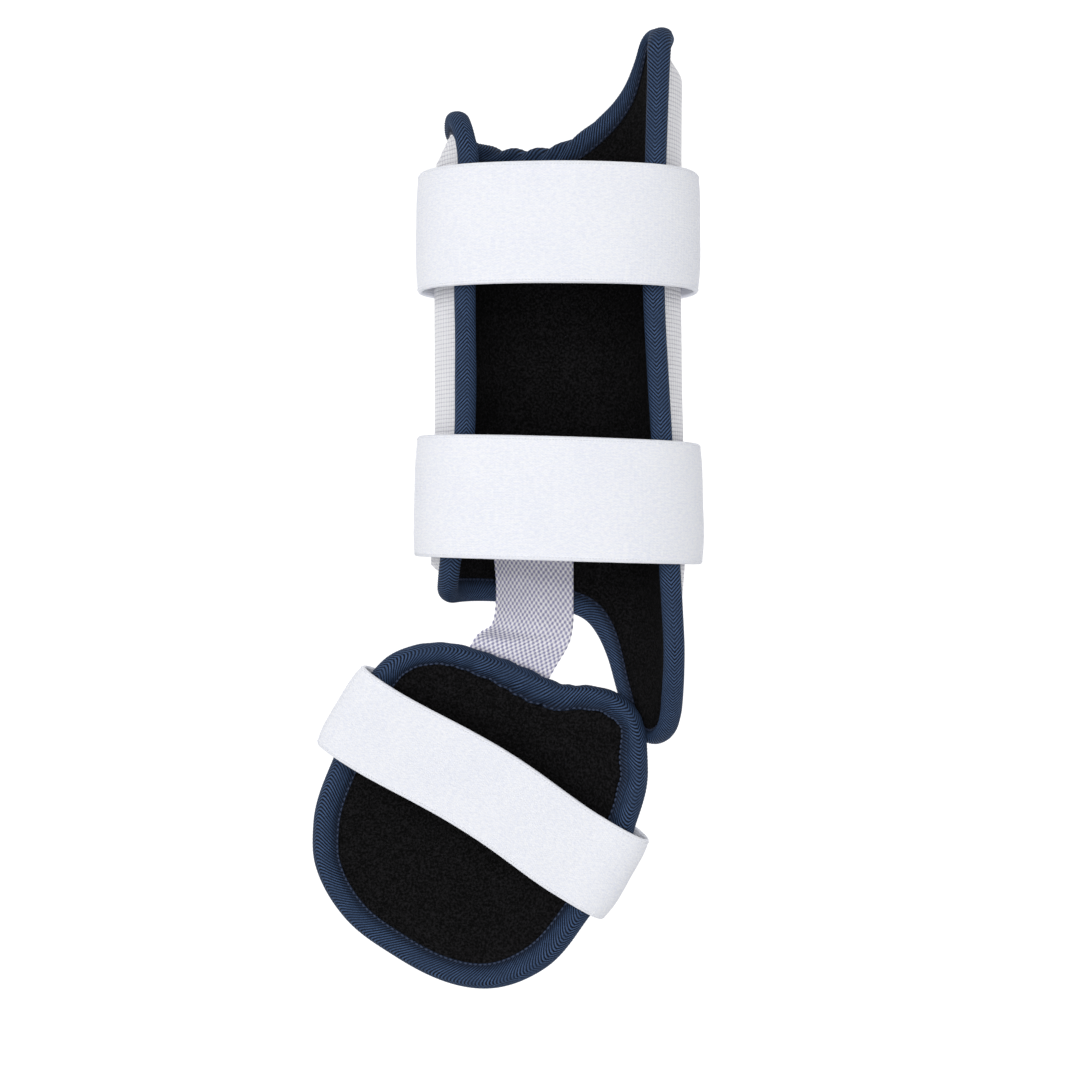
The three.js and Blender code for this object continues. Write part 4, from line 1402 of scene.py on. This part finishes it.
def stitch_tree():
    """Nodes that lay one thread bar on each point, along its run and flat to its face."""
    name = "Lay stitches"
    if name in bpy.data.node_groups:
        return bpy.data.node_groups[name]
    tree = bpy.data.node_groups.new(name, "GeometryNodeTree")
    for socket, side, kind in (
        ("Geometry", "INPUT", "Geometry"),
        ("Length", "INPUT", "Float"),
        ("Width", "INPUT", "Float"),
        ("Height", "INPUT", "Float"),
        ("Material", "INPUT", "Material"),
        ("Geometry", "OUTPUT", "Geometry"),
    ):
        tree.interface.new_socket(socket, in_out=side, socket_type="NodeSocket" + kind)

    def add(kind, settings=None, values=None):
        node = tree.nodes.new(kind)
        for key, value in (settings or {}).items():
            setattr(node, key, value)
        for key, value in (values or {}).items():
            node.inputs[key].default_value = value
        return node

    def vector(attribute):
        return add("GeometryNodeInputNamedAttribute", {"data_type": "FLOAT_VECTOR"}, {"Name": attribute})

    given = add("NodeGroupInput")
    bar = add("GeometryNodeMeshUVSphere", None, {"Segments": 8, "Rings": 5, "Radius": 0.5})
    smooth = add("GeometryNodeSetShadeSmooth")
    size = add("ShaderNodeCombineXYZ")
    run = vector("run")
    facing = vector("facing")
    along = add("FunctionNodeAlignRotationToVector", {"axis": "X"})
    flat = add("FunctionNodeAlignRotationToVector", {"axis": "Z", "pivot_axis": "X"})
    lay = add("GeometryNodeInstanceOnPoints")
    realize = add("GeometryNodeRealizeInstances")
    dye = add("GeometryNodeSetMaterial")
    result = add("NodeGroupOutput")
    for source, output, target, socket in (
        (given, "Length", size, "X"),
        (given, "Width", size, "Y"),
        (given, "Height", size, "Z"),
        (run, "Attribute", along, "Vector"),
        (along, "Rotation", flat, "Rotation"),
        (facing, "Attribute", flat, "Vector"),
        (bar, "Mesh", smooth, "Geometry"),
        (given, "Geometry", lay, "Points"),
        (smooth, "Geometry", lay, "Instance"),
        (flat, "Rotation", lay, "Rotation"),
        (size, "Vector", lay, "Scale"),
        (lay, "Instances", realize, "Geometry"),
        (realize, "Geometry", dye, "Geometry"),
        (given, "Material", dye, "Material"),
        (dye, "Geometry", result, "Geometry"),
    ):
        tree.links.new(source.outputs[output], target.inputs[socket])
    return tree


def sew(name, seam, size, material):
    """A piece of stitches from a seam's points, runs and facings, as one plain mesh."""
    points, runs, facings = seam
    mesh = bpy.data.meshes.new(name + "_points")
    mesh.from_pydata((points * MM + SHIN_ORIGIN).tolist(), [], [])
    for key, values in (("run", runs), ("facing", facings)):
        attribute = mesh.attributes.new(key, "FLOAT_VECTOR", "POINT")
        attribute.data.foreach_set("vector", values.astype(np.float32).ravel())
    piece = show(mesh, None)
    piece.name = name
    modifier = piece.modifiers.new("Stitches", "NODES")
    tree = stitch_tree()
    modifier.node_group = tree
    given = dict(zip(("Length", "Width", "Height"), size), Material=material)
    for socket in tree.interface.items_tree:
        if socket.in_out == "INPUT" and socket.name in given:
            modifier[socket.identifier] = given[socket.name]
    graph = bpy.context.evaluated_depsgraph_get()
    sewn = bpy.data.meshes.new_from_object(piece.evaluated_get(graph))
    piece.modifiers.remove(modifier)
    piece.data = sewn
    sewn.name = name
    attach(piece, "root")
    return piece


def join_seams(seams):
    return tuple(np.vstack(parts) for parts in zip(*seams))


def tape_seam(tape, side, spacing):
    """Stitches along one leg of a tape, side -1 on the leg side and 1 on the outer side."""
    count = round(tape.outline.length / spacing)
    walked = np.arange(count) * tape.outline.length / count
    across = np.full(count, side * (tape.half - tape.STITCH_IN))
    here = tape.surface(walked, across, STITCH_LIFT)
    ahead, behind = (tape.surface(walked + step, across, STITCH_LIFT) for step in (0.5, -0.5))
    above = tape.surface(walked, across, STITCH_LIFT + 1)
    return here, unit(ahead - behind), unit(above - here)


class GUARD_OT_stitching(Operator):
    """Sew the tapes down and lay the row of loops in each edge of the straps"""

    bl_idname = "guard.stitching"
    bl_label = "Stitching"

    def execute(self, context):
        sizes = context.scene.guard_sizes
        navy = finish_named("navy thread", thread_finish("navy_thread"))
        dark = finish_named("dark thread", thread_finish("dark_thread"))
        white = finish_named("white thread", thread_finish("white_thread"))
        stitch = sizes.stitch, *(sizes.thread * share for share in STITCH_SECTION)
        loop = tuple(sizes.thread * share for share in LOOP_SECTION)
        tapes = ("shin_binding", shin_tape(), dark), ("foot_binding", foot_tape(), navy)
        for node, tape, finish in tapes:
            seam = join_seams([tape_seam(tape, side, sizes.stitch_gap / MM) for side in (-1, 1)])
            sew(node + "_stitches", seam, stitch, finish)
        for name, band in strap_bands().items():
            seam = band.loops(sizes.loop_gap / MM)
            sew(name + "_loops", seam, loop, white)
        return {"FINISHED"}


class GUARD_OT_stage(Operator):
    """Set the pale floor, the soft studio light and the camera that looks straight down"""

    bl_idname = "guard.stage"
    bl_label = "Studio"

    def execute(self, context):
        scene = context.scene
        stage = scene.guard_stage
        scene.view_settings.view_transform = "Standard"
        self.floor(scene, stage)
        self.lights(scene, stage)
        camera_data = bpy.data.cameras.new("camera")
        camera_data.sensor_width = SENSOR_WIDTH
        camera_data.lens = stage.lens
        camera = bpy.data.objects.new("camera", camera_data)
        camera.location = (SHIN_ORIGIN[0] + stage.camera_offset, SHIN_ORIGIN[1], stage.camera_height)
        scene.collection.objects.link(camera)
        scene.camera = camera
        return {"FINISHED"}

    def floor(self, scene, stage):
        sides = (-1, -1), (1, -1), (1, 1), (-1, 1)
        corners = [(x * FLOOR_HALF, y * FLOOR_HALF, -FLOOR_DROP) for x, y in sides]
        mesh = bpy.data.meshes.new("floor")
        mesh.from_pydata(corners, [], [(0, 1, 2, 3)])
        finish = Finish("floor")
        mottle = finish.noise(grain=0.4)
        colour = scene.guard_colours.floor
        mesh.materials.append(finish.finish({
            "Base Color": finish.colours(shaded(colour, 0.97), colour, mottle),
            "Roughness": 0.9,
            "Emission Color": (1, 1, 1, 1),
            "Emission Strength": stage.floor_glow,
        }))
        floor = bpy.data.objects.new("floor", mesh)
        scene.collection.objects.link(floor)

    def lights(self, scene, stage):
        world = bpy.data.worlds.new("studio")
        world.use_nodes = True
        background = world.node_tree.nodes["Background"]
        background.inputs["Color"].default_value = (1, 1, 1, 1)
        background.inputs["Strength"].default_value = stage.sky
        scene.world = world
        for name, place, size, share in LIGHTS:
            light = bpy.data.lights.new(name, "AREA")
            light.size = size
            light.energy = stage.key_power * share
            lamp = bpy.data.objects.new(name, light)
            lamp.location = place
            lamp.rotation_euler = (-lamp.location).to_track_quat("-Z", "Y").to_euler()
            scene.collection.objects.link(lamp)


STEPS = (
    GUARD_OT_stage,
    GUARD_OT_shin_wall,
    GUARD_OT_instep_shield,
    GUARD_OT_bindings,
    GUARD_OT_straps,
    GUARD_OT_link,
    GUARD_OT_stitching,
)


class GUARD_PT_panel(Panel):
    """The guard's sizes, colours and pieces"""

    bl_label = "Leg and foot guard"
    bl_idname = "GUARD_PT_panel"
    bl_space_type = "VIEW_3D"
    bl_region_type = "UI"
    bl_category = "Guard"

    def draw(self, context):
        layout = self.layout
        for group in (context.scene.guard_sizes, context.scene.guard_colours, context.scene.guard_stage):
            box = layout.box()
            for name in group.__annotations__:
                box.prop(group, name)
        for step in STEPS:
            layout.operator(step.bl_idname)


GROUPS = {"guard_sizes": GuardSizes, "guard_colours": GuardColours, "guard_stage": GuardStage}
CLASSES = (*GROUPS.values(), *STEPS, GUARD_PT_panel)


def register():
    for kind in CLASSES:
        bpy.utils.register_class(kind)
    for name, kind in GROUPS.items():
        setattr(bpy.types.Scene, name, PointerProperty(type=kind))


def unregister():
    for name in GROUPS:
        delattr(bpy.types.Scene, name)
    for kind in reversed(CLASSES):
        bpy.utils.unregister_class(kind)


def main():
    register()
    bpy.ops.guard.stage()
    bpy.ops.guard.shin_wall()
    bpy.ops.guard.instep_shield()
    bpy.ops.guard.bindings()
    bpy.ops.guard.straps()
    bpy.ops.guard.link()
    bpy.ops.guard.stitching()


if __name__ == "__main__":
    main()
